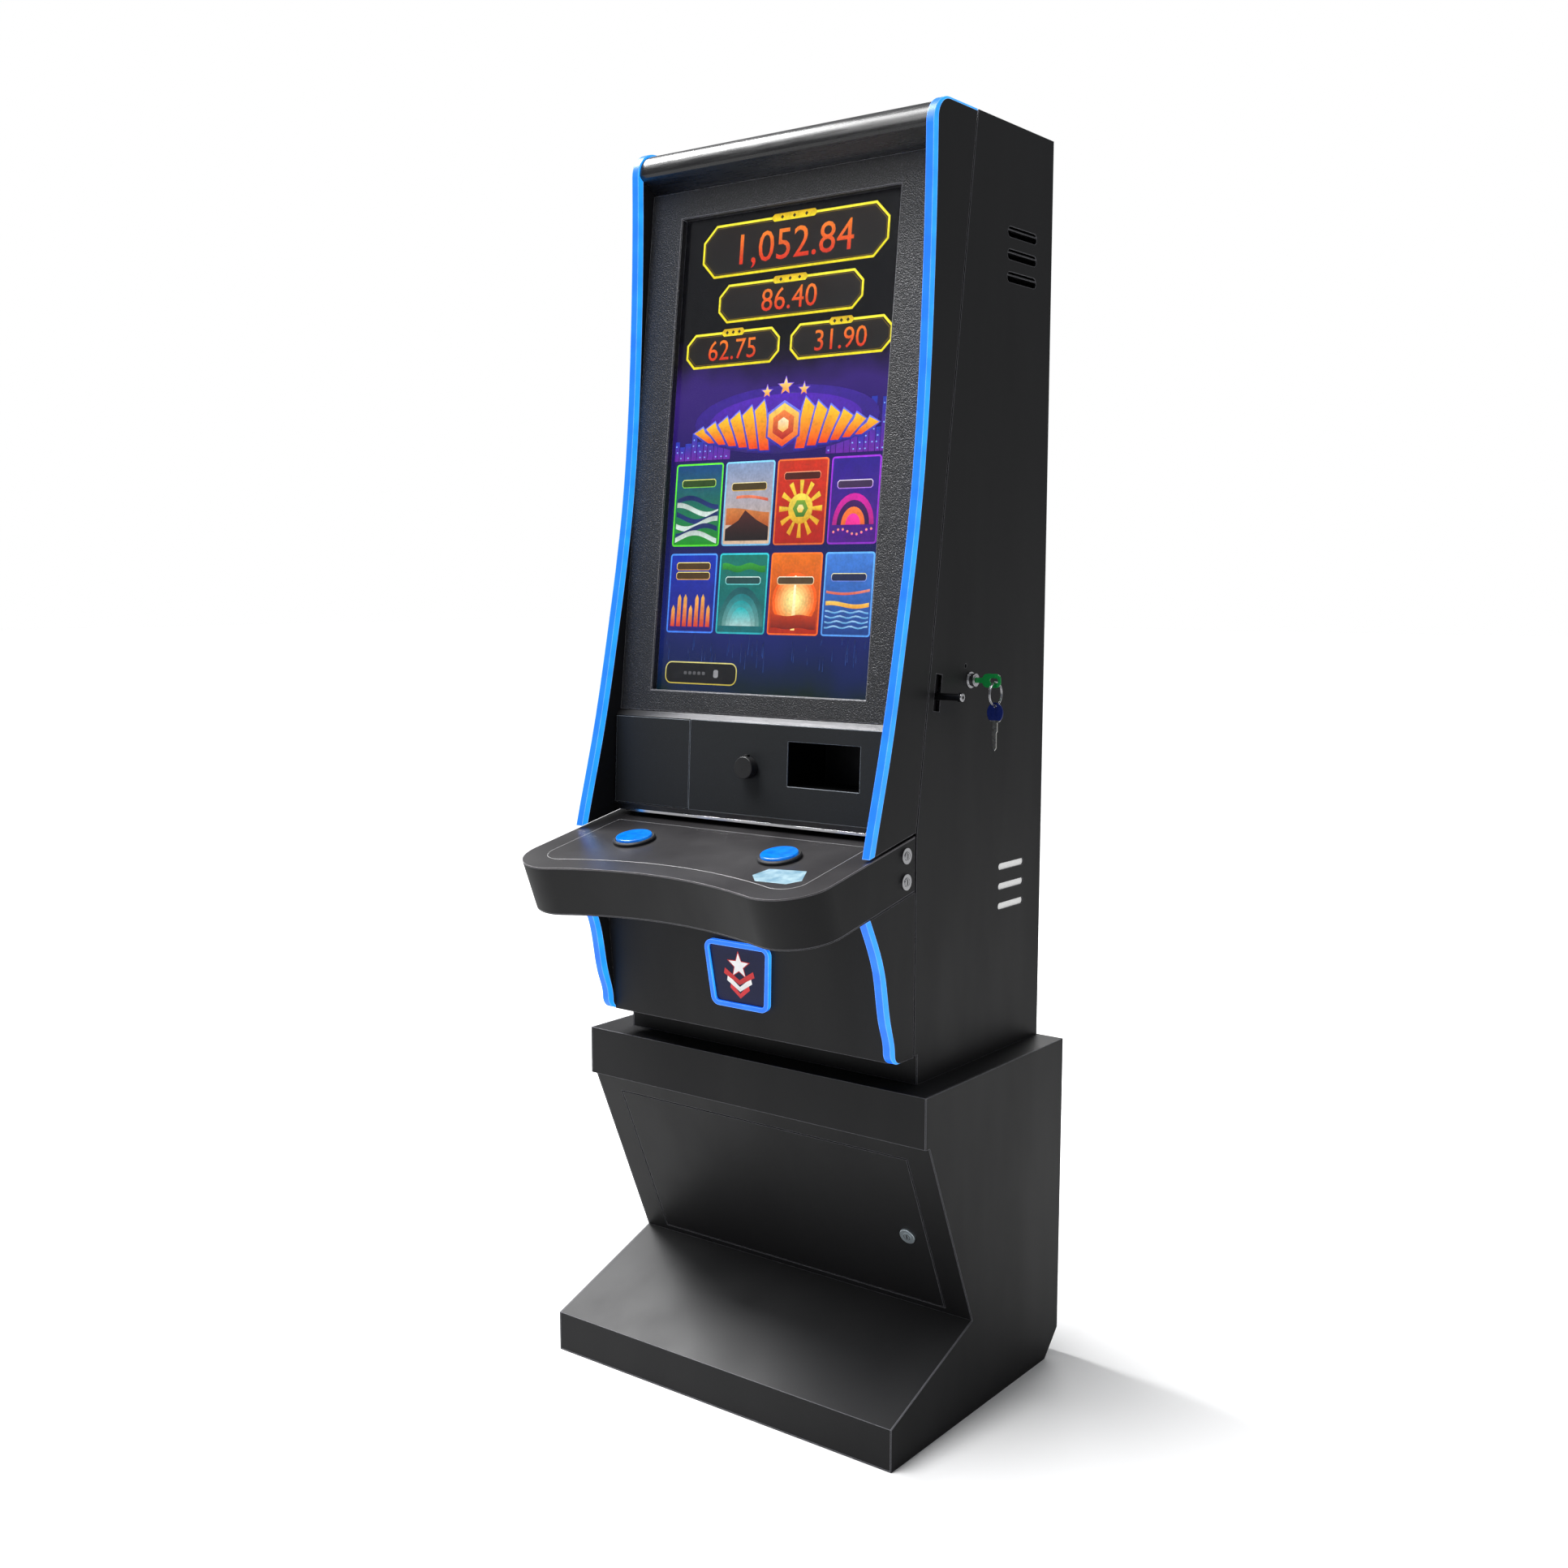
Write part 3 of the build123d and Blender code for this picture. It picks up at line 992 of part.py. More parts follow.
SWITCH_DEPTH = SEAM_KNEE_DEPTH + 27
SWITCHES = {"upper": KNEE - 23.5, "lower": KNEE - 60.5}
DECK_RIGHT = Plane(origin=(HALF_DECK, 0, 0), x_dir=(0, 1, 0), z_dir=(1, 0, 0))
with BuildPart() as deck_apron:
    deck_slice(SHEET_RUN, APRON_LENGTH - SHEET_RUN)
    deck_slice(SHEET_RUN - 1, APRON_LENGTH - SHEET_RUN + 1, DECK_WALL, Mode.SUBTRACT)
    trim_deck_back()
    block(FLOOR_UP, (-HALF_DECK + DECK_WALL, HALF_DECK - DECK_WALL), (front(SEAM_KNEE_DEPTH + 40), BACK_Y),
          (KNEE - 150, KNEE + 20), Mode.SUBTRACT)
    for height in SWITCHES.values():
        peg(DECK_RIGHT, (front(SWITCH_DEPTH), height), LOCK_BARREL_RADIUS, (-5, 5), Mode.SUBTRACT)
save(deck_apron, "deck_apron")

with BuildPart() as deck_bottom:
    deck_slice(APRON_LENGTH - SHEET_RUN, APRON_LENGTH)
    trim_deck_back()
save(deck_bottom, "deck_bottom")

SWITCH_LENGTH = 34
PLUNGER_RADIUS = 5
with BuildPart() as button_housings:
    for x in (-BUTTON_X, BUTTON_X):
        centre = (x, -BUTTON_REACH)
        cup = BUTTON_CAP_RADIUS + BUTTON_CLEARANCE
        peg(DECK, centre, BUTTON_RING_RADIUS, (0, BUTTON_RING_HEIGHT))
        peg(DECK, centre, BUTTON_BARREL_RADIUS, (-SWITCH_LENGTH, 0))
        peg(DECK, centre, cup, (BUTTON_RING_HEIGHT - 5, BUTTON_RING_HEIGHT + 1), Mode.SUBTRACT)
        peg(DECK, centre, PLUNGER_RADIUS + RUNNING_CLEARANCE, (-SWITCH_LENGTH + 4, BUTTON_RING_HEIGHT),
            Mode.SUBTRACT)
        peg(DECK, centre, BUTTON_BARREL_RADIUS - 3, (-SWITCH_LENGTH + 14, BUTTON_RING_HEIGHT - 4.9),
            Mode.SUBTRACT)
    ring_tops = button_housings.faces().sort_by(Axis(DECK.origin, DECK.z_dir))[-2:]
    chamfer([edge for face in ring_tops for edge in face.outer_wire().edges()], 1.8)
save(button_housings, "button_housings")

CAP_FOOT = BUTTON_RING_HEIGHT - 5 + BUTTON_TRAVEL + 0.5
for side, x in (("left", -BUTTON_X), ("right", BUTTON_X)):
    with BuildPart() as button_cap:
        peg(DECK, (x, -BUTTON_REACH), BUTTON_CAP_RADIUS, (CAP_FOOT, BUTTON_CAP_HEIGHT))
        fillet(button_cap.faces().sort_by(Axis(DECK.origin, DECK.z_dir))[-1].edges(), 1.6)
        peg(DECK, (x, -BUTTON_REACH), PLUNGER_RADIUS, (-SWITCH_LENGTH + 4 + BUTTON_TRAVEL + 1, CAP_FOOT))
    save(button_cap, f"button_cap_{side}")

with BuildPart() as lock_bodies:
    lock_body(RIGHT_OUT, MAIN_LOCK, 12, 3, MAIN_BARREL)
    peg(RIGHT_OUT, MAIN_LOCK, LOCK_BARREL_RADIUS, (3, 11))
    peg(RIGHT_OUT, MAIN_LOCK, SHAFT_RADIUS + RUNNING_CLEARANCE, (2, 12), Mode.SUBTRACT)
    for height in SWITCHES.values():
        lock_body(DECK_RIGHT, (front(SWITCH_DEPTH), height), 11.5, 3, 22)
save(lock_bodies, "lock_bodies")

for name, height in SWITCHES.items():
    with BuildPart() as key_switch_plug:
        lock_plug(DECK_RIGHT, (front(SWITCH_DEPTH), height), 4, 24)
    save(key_switch_plug, f"key_switch_plug_{name}")

# ================================================================ lower front
LOWER_TOP = (491, -0.30)
LOWER_CURVE = [(450, 0.60), (433, 0.25)]
LOWER_FOOT_DEPTH = 423
LOWER_CORNER = 20
LOWER_INNER_CORNER = 14


def lower_outline(inset, radius):
    """Side outline of the lower cheeks, with the curved front and its round foot moved in."""
    low = BASE + PLINTH_HEIGHT - 2
    high = deck_underside(LOWER_TOP[0]) + 12
    arc_start = (front(LOWER_FOOT_DEPTH - inset), low + radius)
    arc_end = (front(LOWER_FOOT_DEPTH - inset - radius), low)
    rear = front(SEAM_KNEE_DEPTH + SEAM_GAP)
    curve = [(front(depth - inset), low + share * (high - low)) for depth, share in LOWER_CURVE]
    with BuildSketch(Plane.YZ) as face:
        with BuildLine():
            Spline((front(LOWER_TOP[0] - inset), high), *curve, arc_start, tangents=[(0.5, -1), (0, -1)])
            TangentArc(arc_start, arc_end, tangent=(0, -1))
            Polyline(arc_end, (rear, low), (rear, high + 40), (front(LOWER_TOP[0] - inset), high))
        make_face()
        with BuildLine():
            Polyline(*[(front(depth), height) for depth, height in [
                (200, deck_underside(200)),
                (600, deck_underside(600)),
                (600, high + 200),
                (200, high + 200),
            ]], close=True)
        make_face(mode=Mode.SUBTRACT)
    return face.sketch


lower_body_outline = lower_outline(TRIM_THICKNESS, LOWER_INNER_CORNER)
lower_full_outline = lower_outline(0, LOWER_CORNER)
with BuildPart() as lower_cheeks:
    for span in CHEEK_SPANS.values():
        across_x(lower_body_outline, span)
save(lower_cheeks, "lower_cheeks")

with BuildPart() as lower_light_trims:
    for span in CHEEK_SPANS.values():
        across_x(lower_full_outline, span)
        across_x(lower_body_outline, (span[0] - 1, span[1] + 1), Mode.SUBTRACT)
save(lower_light_trims, "lower_light_trims")

with BuildPart() as belly_panel:
    top = deck_underside(BELLY_TOP_DEPTH)
    side_prism([
        (BELLY_TOP_DEPTH, top),
        (BELLY_BOTTOM_DEPTH, BELLY_BOTTOM),
        (PLINTH_DEPTH, BELLY_BOTTOM),
        (PLINTH_DEPTH, BELLY_BOTTOM + PANEL_SHEET),
        (BELLY_BOTTOM_DEPTH - PANEL_SHEET, BELLY_BOTTOM + PANEL_SHEET),
        (BELLY_TOP_DEPTH - PANEL_SHEET, top),
    ], (-INNER_CHEEK, INNER_CHEEK))
save(belly_panel, "belly_panel")


def emblem_shape(margin):
    """The emblem's rounded outline, narrower at the foot, grown by a margin."""
    with BuildSketch(BELLY) as face:
        with BuildLine():
            Polyline(
                (-EMBLEM_BOTTOM_WIDTH / 2 - margin, EMBLEM_UP - margin),
                (EMBLEM_BOTTOM_WIDTH / 2 + margin, EMBLEM_UP - margin),
                (EMBLEM_TOP_WIDTH / 2 + margin, EMBLEM_UP + EMBLEM_HEIGHT + margin),
                (-EMBLEM_TOP_WIDTH / 2 - margin, EMBLEM_UP + EMBLEM_HEIGHT + margin),
                close=True,
            )
        make_face()
        fillet(face.vertices(), 14 + margin)
    return face.sketch


RIM_INNER = emblem_shape(-EMBLEM_RIM)
with BuildPart() as emblem_rim:
    extrude(emblem_shape(0), amount=7)
    extrude(RIM_INNER, amount=8, mode=Mode.SUBTRACT)
save(emblem_rim, "emblem_rim")

with BuildPart() as emblem_plate:
    extrude(RIM_INNER, amount=3)
save(emblem_plate, "emblem_plate")
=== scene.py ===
"""Looks for the floor-standing video game cabinet: finishes, the lit picture, small fittings,
light and camera.

Metres, in the CAD frame. The origin is the centre of the stand's footprint on the floor,
+X is the player's right, +Y the back and +Z up. Sizes are written in millimetres times MM.
"""

import json
import random
from math import asin, cos, hypot, pi, radians, sin, tau

import bmesh
import bpy
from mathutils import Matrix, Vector


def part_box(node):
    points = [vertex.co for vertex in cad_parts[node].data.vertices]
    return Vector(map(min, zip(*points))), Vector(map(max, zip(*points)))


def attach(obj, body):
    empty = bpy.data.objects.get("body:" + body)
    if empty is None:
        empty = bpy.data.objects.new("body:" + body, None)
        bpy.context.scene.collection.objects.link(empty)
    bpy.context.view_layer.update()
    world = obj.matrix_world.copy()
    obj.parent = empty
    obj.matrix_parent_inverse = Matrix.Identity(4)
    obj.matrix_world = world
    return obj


MM = 0.001
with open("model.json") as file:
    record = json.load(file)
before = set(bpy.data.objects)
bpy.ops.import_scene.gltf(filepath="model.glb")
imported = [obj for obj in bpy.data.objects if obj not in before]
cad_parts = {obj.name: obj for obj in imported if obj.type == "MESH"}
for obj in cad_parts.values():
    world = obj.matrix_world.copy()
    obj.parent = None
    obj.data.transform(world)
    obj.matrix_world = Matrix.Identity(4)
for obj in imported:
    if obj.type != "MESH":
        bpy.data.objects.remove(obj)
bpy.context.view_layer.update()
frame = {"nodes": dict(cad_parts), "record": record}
NODES = frame["nodes"]
QUARTER_TURN = pi / 2

# ---------------------------------------------------------------- making finishes


class Finish:
    """One Principled material and the nodes that drive it. Coordinates are the object's own."""

    def __init__(self, name, **sockets):
        self.material = bpy.data.materials.new(name)
        self.material.use_nodes = True
        self.tree = self.material.node_tree
        self.shader = next(n for n in self.tree.nodes if n.type == "BSDF_PRINCIPLED")
        coordinates = self.node("TexCoord")
        self.where = coordinates.outputs["Object"]
        self.facing = coordinates.outputs["Normal"]
        self.set(**sockets)

    def set(self, **sockets):
        """Give shader sockets a value, or link them when the value is another node's output."""
        for socket, value in sockets.items():
            self.feed(self.shader.inputs[socket.replace("_", " ")], value)

    def node(self, kind, **settings):
        """Add a shader node, named without its "ShaderNode" prefix."""
        made = self.tree.nodes.new("ShaderNode" + kind)
        for key, value in settings.items():
            setattr(made, key, value)
        return made

    def feed(self, target, value):
        """Link a socket to another node's output, or write a plain value on it."""
        if isinstance(value, bpy.types.NodeSocket):
            self.tree.links.new(value, target)
        elif isinstance(value, tuple) and target.type == "RGBA":
            target.default_value = (*value[:3], 1)
        else:
            target.default_value = value

    def noise(self, scale, detail=3, stretch=(1, 1, 1)):
        """Noise around 0.5, with features of about 1 / scale metres."""
        mapping = self.node("Mapping")
        self.feed(mapping.inputs["Vector"], self.where)
        mapping.inputs["Scale"].default_value = stretch
        made = self.node("TexNoise")
        self.feed(made.inputs["Vector"], mapping.outputs["Vector"])
        made.inputs["Scale"].default_value = scale
        made.inputs["Detail"].default_value = detail
        return made.outputs["Fac"]

    def cells(self, scale):
        """Distance from the nearest of many scattered points."""
        made = self.node("TexVoronoi")
        self.feed(made.inputs["Vector"], self.where)
        made.inputs["Scale"].default_value = scale
        return made.outputs["Distance"]

    def remap(self, value, start, end, to_start=0.0, to_end=1.0):
        """Take the range from start to end to another range, and hold it at both ends."""
        made = self.node("MapRange")
        for socket, number in zip(made.inputs[:5], (value, start, end, to_start, to_end)):
            self.feed(socket, number)
        return made.outputs["Result"]

    def calc(self, operation, first, second=0.0):
        made = self.node("Math", operation=operation)
        self.feed(made.inputs[0], first)
        self.feed(made.inputs[1], second)
        return made.outputs["Value"]

    def blend(self, share, first, second, mode="MIX"):
        """A colour between two colours."""
        made = self.node("Mix", data_type="RGBA", blend_type=mode)
        self.feed(made.inputs["Factor"], share)
        self.feed(made.inputs[6], first)
        self.feed(made.inputs[7], second)
        return made.outputs[2]

    def ramp(self, value, *stops):
        """A colour picked along (position, colour) stops."""
        made = self.node("ValToRGB")
        self.feed(made.inputs["Fac"], value)
        ramp = made.color_ramp
        while len(ramp.elements) < len(stops):
            ramp.elements.new(0.5)
        for element, (position, colour) in zip(ramp.elements, stops):
            element.position = position
            element.color = (*colour, 1)
        return made.outputs["Color"]

    def along(self, point, direction):
        """Metres from a point, measured along a direction."""
        away = self.node("VectorMath", operation="SUBTRACT")
        self.feed(away.inputs[0], self.where)
        away.inputs[1].default_value = point
        made = self.node("VectorMath", operation="DOT_PRODUCT")
        self.feed(made.inputs[0], away.outputs["Vector"])
        made.inputs[1].default_value = direction
        return made.outputs["Value"]

    def faces(self, direction):
        """1 where the surface looks along a direction, and -1 where it looks the other way."""
        made = self.node("VectorMath", operation="DOT_PRODUCT")
        self.feed(made.inputs[0], self.facing)
        made.inputs[1].default_value = direction
        return made.outputs["Value"]

    def edges(self, radius):
        """The normal with edges rounded over a radius, and a mask of those edges."""
        rounded = self.node("Bevel", samples=4)
        rounded.inputs["Radius"].default_value = radius
        flat = self.node("NewGeometry").outputs["Normal"]
        turned = self.node("VectorMath", operation="DOT_PRODUCT")
        self.feed(turned.inputs[0], rounded.outputs["Normal"])
        self.feed(turned.inputs[1], flat)
        mask = self.remap(turned.outputs["Value"], 0.995, 0.8)
        return rounded.outputs["Normal"], mask

    def bump(self, height, depth, normal=None):
        """Give the surface a relief whose full height is depth metres."""
        made = self.node("Bump")
        made.inputs["Distance"].default_value = depth
        self.feed(made.inputs["Height"], height)
        if normal is not None:
            self.feed(made.inputs["Normal"], normal)
        self.set(Normal=made.outputs["Normal"])


def scaled(colour, factor):
    """A colour made darker or paler."""
    return tuple(min(1.0, part * factor) for part in colour)


EDGE_HIGHLIGHT_PALENESS = 45  # times as pale as the coat, for the painted highlight on edges, so that an edge on black shows grey
MOULD_GRAIN = 0.35 * MM


def powder_coat(name, colour, grain=0.7 * MM, roughness=0.5, relief=0.06 * MM, gloss=0.34, peel_highlight=2.4):
    """Textured powder coat on sheet metal: fine orange peel whose peaks carry a painted highlight, faint
    clouds, and a painted highlight on edges that are also a little smoother.
    """
    finish = Finish(name, Specular_IOR_Level=gloss)
    normal, edge_highlight = finish.edges(1.6 * MM)
    clouds = finish.noise(4, detail=4)
    peel = finish.noise(1 / grain, detail=2)
    smears = finish.noise(9, detail=5, stretch=(1, 1, 0.25))
    tone = finish.blend(clouds, scaled(colour, 0.8), scaled(colour, 1.25))
    # Painted highlight: the peaks of the orange peel are made paler, as if they caught the light.
    tone = finish.blend(finish.remap(peel, 0.52, 0.75, 0, 0.6), tone, scaled(colour, peel_highlight))
    # Painted highlight: the bevel's edge mask makes the edges paler.
    tone = finish.blend(finish.calc("MULTIPLY", edge_highlight, 0.8), tone, scaled(colour, EDGE_HIGHLIGHT_PALENESS))
    rough = finish.remap(smears, 0.3, 0.7, roughness - 0.06, roughness + 0.06)
    polish = finish.calc("MULTIPLY", edge_highlight, 0.1)
    finish.set(Base_Color=tone, Roughness=finish.calc("SUBTRACT", rough, polish))
    finish.bump(peel, relief, normal)
    return finish.material


def gloss_paint(name, colour, roughness):
    """Smooth lacquered sheet with a faint ripple, fine hairline marks and a painted highlight on its edges.
    """
    finish = Finish(name, Coat_Weight=0.3, Coat_Roughness=0.2)
    normal, edge_highlight = finish.edges(1.2 * MM)
    ripple = finish.noise(60, detail=1)
    hairs = finish.noise(300, detail=2, stretch=(0.06, 1, 1))
    # Painted highlight: the edges are made three times as pale.
    tone = finish.blend(edge_highlight, colour, scaled(colour, 3))
    finish.set(Base_Color=tone, Roughness=finish.remap(hairs, 0.35, 0.75, roughness, roughness + 0.12))
    finish.bump(ripple, 0.05 * MM, normal)
    return finish.material


def moulded(name, colour, roughness=0.45):
    """Moulded plastic with a spark-eroded grain, and edges made slightly brighter by a painted highlight.
    """
    finish = Finish(name, Specular_IOR_Level=0.45)
    normal, edge_highlight = finish.edges(0.8 * MM)
    pits = finish.cells(1 / MOULD_GRAIN)
    clouds = finish.noise(30)
    tone = finish.blend(clouds, scaled(colour, 0.85), scaled(colour, 1.15))
    # Painted highlight: the edges are made paler.
    tone = finish.blend(finish.calc("MULTIPLY", edge_highlight, 0.4), tone, scaled(colour, 2))
    rough = finish.remap(clouds, 0.3, 0.7, roughness - 0.07, roughness + 0.07)
    finish.set(Base_Color=tone, Roughness=rough)
    finish.bump(pits, 0.03 * MM, normal)
    return finish.material


def bare_metal(name, colour, roughness=0.25, brushed=(1, 1, 1), stain=0.5):
    """Plated or bare metal: fine brushing, faint stains and a painted highlight on the edges."""
    finish = Finish(name, Metallic=1.0)
    normal, edge_highlight = finish.edges(0.5 * MM)
    stains = finish.noise(55, detail=5)
    lines = finish.noise(700, detail=2, stretch=brushed)
    tone = finish.blend(finish.remap(stains, 0.35, 0.75, 0, stain), colour, scaled(colour, 0.55))
    # Painted highlight: the edges are made paler.
    tone = finish.blend(edge_highlight, tone, scaled(colour, 1.3))
    rough = finish.remap(lines, 0.3, 0.7, roughness - 0.06, roughness + 0.1)
    finish.set(Base_Color=tone, Roughness=rough)
    finish.bump(lines, 0.02 * MM, normal)
    return finish.material


def lit_diffuser(name, core, rim, flank, strength, edge):
    """A lit plastic part: a deep colour inside, a paler rim, and its own colour on the flanks."""
    finish = Finish(name, Roughness=0.3, Base_Color=scaled(core, 0.4))
    normal, thin = finish.edges(edge)
    flow = finish.noise(35, detail=2)
    sideways = finish.calc("ABSOLUTE", finish.faces((1, 0, 0)))
    colour = finish.blend(finish.remap(sideways, 0.8, 0.95), core, flank)
    colour = finish.blend(finish.remap(thin, 0.0, 1.0, 0.0, 0.85), colour, rim)
    drift = finish.remap(flow, 0.3, 0.7, strength * 0.85, strength * 1.15)
    finish.set(Emission_Color=colour, Emission_Strength=drift, Normal=normal)
    return finish.material


def button_finish():
    """A lit translucent cap: deep blue with drifting brightness, and a paler rim that is a painted
    highlight.
    """
    finish = Finish("button_blue", Roughness=0.18, Coat_Weight=0.5, Base_Color=(0.0, 0.1, 0.5))
    normal, thin = finish.edges(2.2 * MM)
    drift = finish.noise(85, detail=3)
    core = finish.blend(finish.remap(drift, 0.35, 0.7), (0.0, 0.09, 0.5), (0.004, 0.25, 0.85))
    # Painted highlight round the rim of the cap.
    colour = finish.blend(finish.remap(thin, 0.0, 1.0, 0.0, 0.7), core, (0.06, 0.5, 1.0))
    finish.set(Emission_Color=colour, Emission_Strength=0.75, Normal=normal)
    return finish.material


def clear_glass(name):
    """Hard glass with the faintest smears of handling."""
    finish = Finish(name, Base_Color=(0.96, 0.98, 1.0), IOR=1.5, Transmission_Weight=1.0)
    smears = finish.noise(14, detail=6, stretch=(1, 1, 0.5))
    finish.set(Roughness=finish.remap(smears, 0.5, 0.8, 0.0, 0.06))
    return finish.material


def woven_filter(name, colour):
    """Pale fibrous filter mat with a painted glow, standing in for a little light coming through it from
    inside.
    """
    finish = Finish(name, Roughness=0.95)
    fibres = finish.noise(900, detail=4, stretch=(1, 1, 0.3))
    dust = finish.noise(40)
    tone = finish.blend(finish.remap(dust, 0.4, 0.8, 0, 0.3), colour, scaled(colour, 0.75))
    # Painted glow: the mat emits a little of its own colour.
    finish.set(Base_Color=tone, Emission_Color=tone, Emission_Strength=0.3)
    finish.bump(fibres, 0.3 * MM)
    return finish.material


# ---------------------------------------------------------------- faces and flat shapes


class Face:
    """A flat face of a CAD node, with its own axes: the largest, or the outermost, on one side."""

    def __init__(self, node, towards, rise=(0, 0, 1), outermost=False):
        mesh = NODES[node].data
        towards = Vector(towards)
        groups = {}
        for polygon in mesh.polygons:
            if polygon.normal.dot(towards) > 0.7:
                plane = polygon.normal.dot(polygon.center)
                key = (*(round(part, 2) for part in polygon.normal), round(plane, 4))
                groups.setdefault(key, []).append(polygon)
        if outermost:
            best = max(groups.values(), key=lambda group: group[0].center.dot(towards))
        else:
            best = max(groups.values(), key=lambda group: sum(polygon.area for polygon in group))
        self.out = sum((polygon.normal * polygon.area for polygon in best), Vector()).normalized()
        self.across = Vector(rise).cross(self.out).normalized()
        self.up = self.out.cross(self.across)
        corners = [mesh.vertices[index].co for polygon in best for index in polygon.vertices]
        sides = [corner.dot(self.across) for corner in corners]
        rises = [corner.dot(self.up) for corner in corners]
        self.width = max(sides) - min(sides)
        self.height = max(rises) - min(rises)
        self.centre = (
            self.across * (max(sides) + min(sides)) / 2
            + self.up * (max(rises) + min(rises)) / 2
            + self.out * corners[0].dot(self.out)
        )

    def at(self, across, up, out=0.0):
        """A point given from the face's centre."""
        return self.centre + self.across * across + self.up * up + self.out * out


def disc(centre, radius, count=24, start=0.0, sweep=tau):
    """Points on a circle, or on an arc of it with both its ends."""
    steps = count if sweep == tau else count + 1
    angles = [start + sweep * step / count for step in range(steps)]
    return [(centre[0] + radius * cos(angle), centre[1] + radius * sin(angle)) for angle in angles]


def star(centre, reach):
    """A five-pointed star."""
    waist = 0.42
    points = []
    for corner in range(10):
        radius = reach * (waist if corner % 2 else 1)
        angle = QUARTER_TURN + tau * corner / 10
        points.append((centre[0] + radius * cos(angle), centre[1] + radius * sin(angle)))
    return points


def chamfered(centre, width, height, cut):
    """A rectangle with its corners cut off."""
    x, y = width / 2, height / 2
    right = [(x - cut, -y), (x, cut - y), (x, y - cut), (x - cut, y)]
    corners = right + [(-u, -v) for u, v in right]
    return [(centre[0] + u, centre[1] + v) for u, v in corners]


def rounded(centre, width, height, radius):
    """A rectangle with round corners."""
    x, y = width / 2 - radius, height / 2 - radius
    points = []
    for quarter, (u, v) in enumerate(((x, y), (-x, y), (-x, -y), (x, -y))):
        middle = (centre[0] + u, centre[1] + v)
        points += disc(middle, radius, 5, quarter * QUARTER_TURN, QUARTER_TURN)
    return points


def moved_in(points, distance):
    """A closed outline with every side moved to its left, which is inwards on an anticlockwise one."""
    moved = []
    for index, (x, y) in enumerate(points):
        before = Vector(points[index - 1])
        after = Vector(points[(index + 1) % len(points)])
        here = Vector((x, y))
        first, second = (here - before).normalized(), (after - here).normalized()
        normal = Vector((-first.y - second.y, first.x + second.x)).normalized()
        share = max(0.3, normal.dot(Vector((-first.y, first.x))))
        moved.append(tuple(here + normal * (distance / share)))
    return moved


class Picture:
    """Flat shapes on a face, gathered into one mesh with a colour at every corner."""

    LAYER = 0.03 * MM
    FONT_SIZE = 1.4  # over the height of a numeral

    def __init__(self, face, lift):
        self.face = face
        self.lift = lift
        self.layer = 0
        self.mesh = bmesh.new()
        self.tint = self.mesh.loops.layers.float_color.new("Tint")

    def shape(self, points, colour, top=None, span=None, layer=None):
        """A filled outline, shading to the top colour over its height or a given span."""
        low, high = span or (min(v for _, v in points), max(v for _, v in points))
        self.layer += 1 if layer is None else 0
        lift = self.lift + self.LAYER * (self.layer if layer is None else layer)
        face = self.mesh.faces.new([self.mesh.verts.new(self.face.at(u, v, lift)) for u, v in points])
        for loop, (_, v) in zip(face.loops, points):
            share = min(1, max(0, (v - low) / (high - low))) if top else 0
            mixed = [a + (b - a) * share for a, b in zip(colour, top or colour)]
            loop[self.tint] = (*mixed, 1)

    def ring(self, points, width, colour, top=None):
        """A line of a given width just inside a closed outline."""
        inner = moved_in(points, width)
        span = (min(v for _, v in points), max(v for _, v in points))
        self.layer += 1
        for index in range(len(points)):
            after = (index + 1) % len(points)
            quad = [points[index], points[after], inner[after], inner[index]]
            self.shape(quad, colour, top, span, self.layer)

    def numerals(self, text, centre, height, colour, top):
        """Plain digits, centred."""
        curve = bpy.data.curves.new("numerals", "FONT")
        curve.body = text
        curve.size = height * self.FONT_SIZE
        curve.align_x, curve.align_y = "CENTER", "CENTER"
        curve.resolution_u = 3
        holder = bpy.data.objects.new("numerals", curve)
        bpy.context.scene.collection.objects.link(holder)
        bpy.context.view_layer.update()
        outline = bpy.data.meshes.new_from_object(holder)
        bpy.data.objects.remove(holder)
        span = (centre[1] - height / 2, centre[1] + height / 2)
        self.layer += 1
        for polygon in outline.polygons:
            corners = [outline.vertices[index].co for index in polygon.vertices]
            points = [(centre[0] + corner.x, centre[1] + corner.y) for corner in corners]
            self.shape(points, colour, top, span, self.layer)

    def finish(self, name, material, body, slot):
        """Make the gathered shapes a piece on a body."""
        self.mesh.normal_update()
        mesh = bpy.data.meshes.new(name)
        self.mesh.to_mesh(mesh)
        self.mesh.free()
        add_piece(name, mesh, material, body)


def add_piece(name, mesh, material, body, bevel=0.0):
    """Put a mesh, already in the frame's coordinates, on a body with a finish."""
    made = bpy.data.objects.new(name, mesh)
    bpy.context.scene.collection.objects.link(made)
    mesh.materials.append(material)
    if bevel:
        rounding = made.modifiers.new("edges", "BEVEL")
        rounding.width, rounding.segments, rounding.limit_method = bevel, 2, "ANGLE"
    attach(made, body)


def slab(face, outlines, low, high):
    """A mesh of plates: each outline on a face, from one height above it to another."""
    plates = bmesh.new()
    for points in outlines:
        bottom = [plates.verts.new(face.at(u, v, low)) for u, v in points]
        top = [plates.verts.new(face.at(u, v, high)) for u, v in points]
        plates.faces.new(top)
        plates.faces.new(bottom[::-1])
        for index in range(len(points)):
            after = (index + 1) % len(points)
            plates.faces.new((bottom[index], bottom[after], top[after], top[index]))
    mesh = bpy.data.meshes.new("plates")
    plates.to_mesh(mesh)
    plates.free()
    return mesh


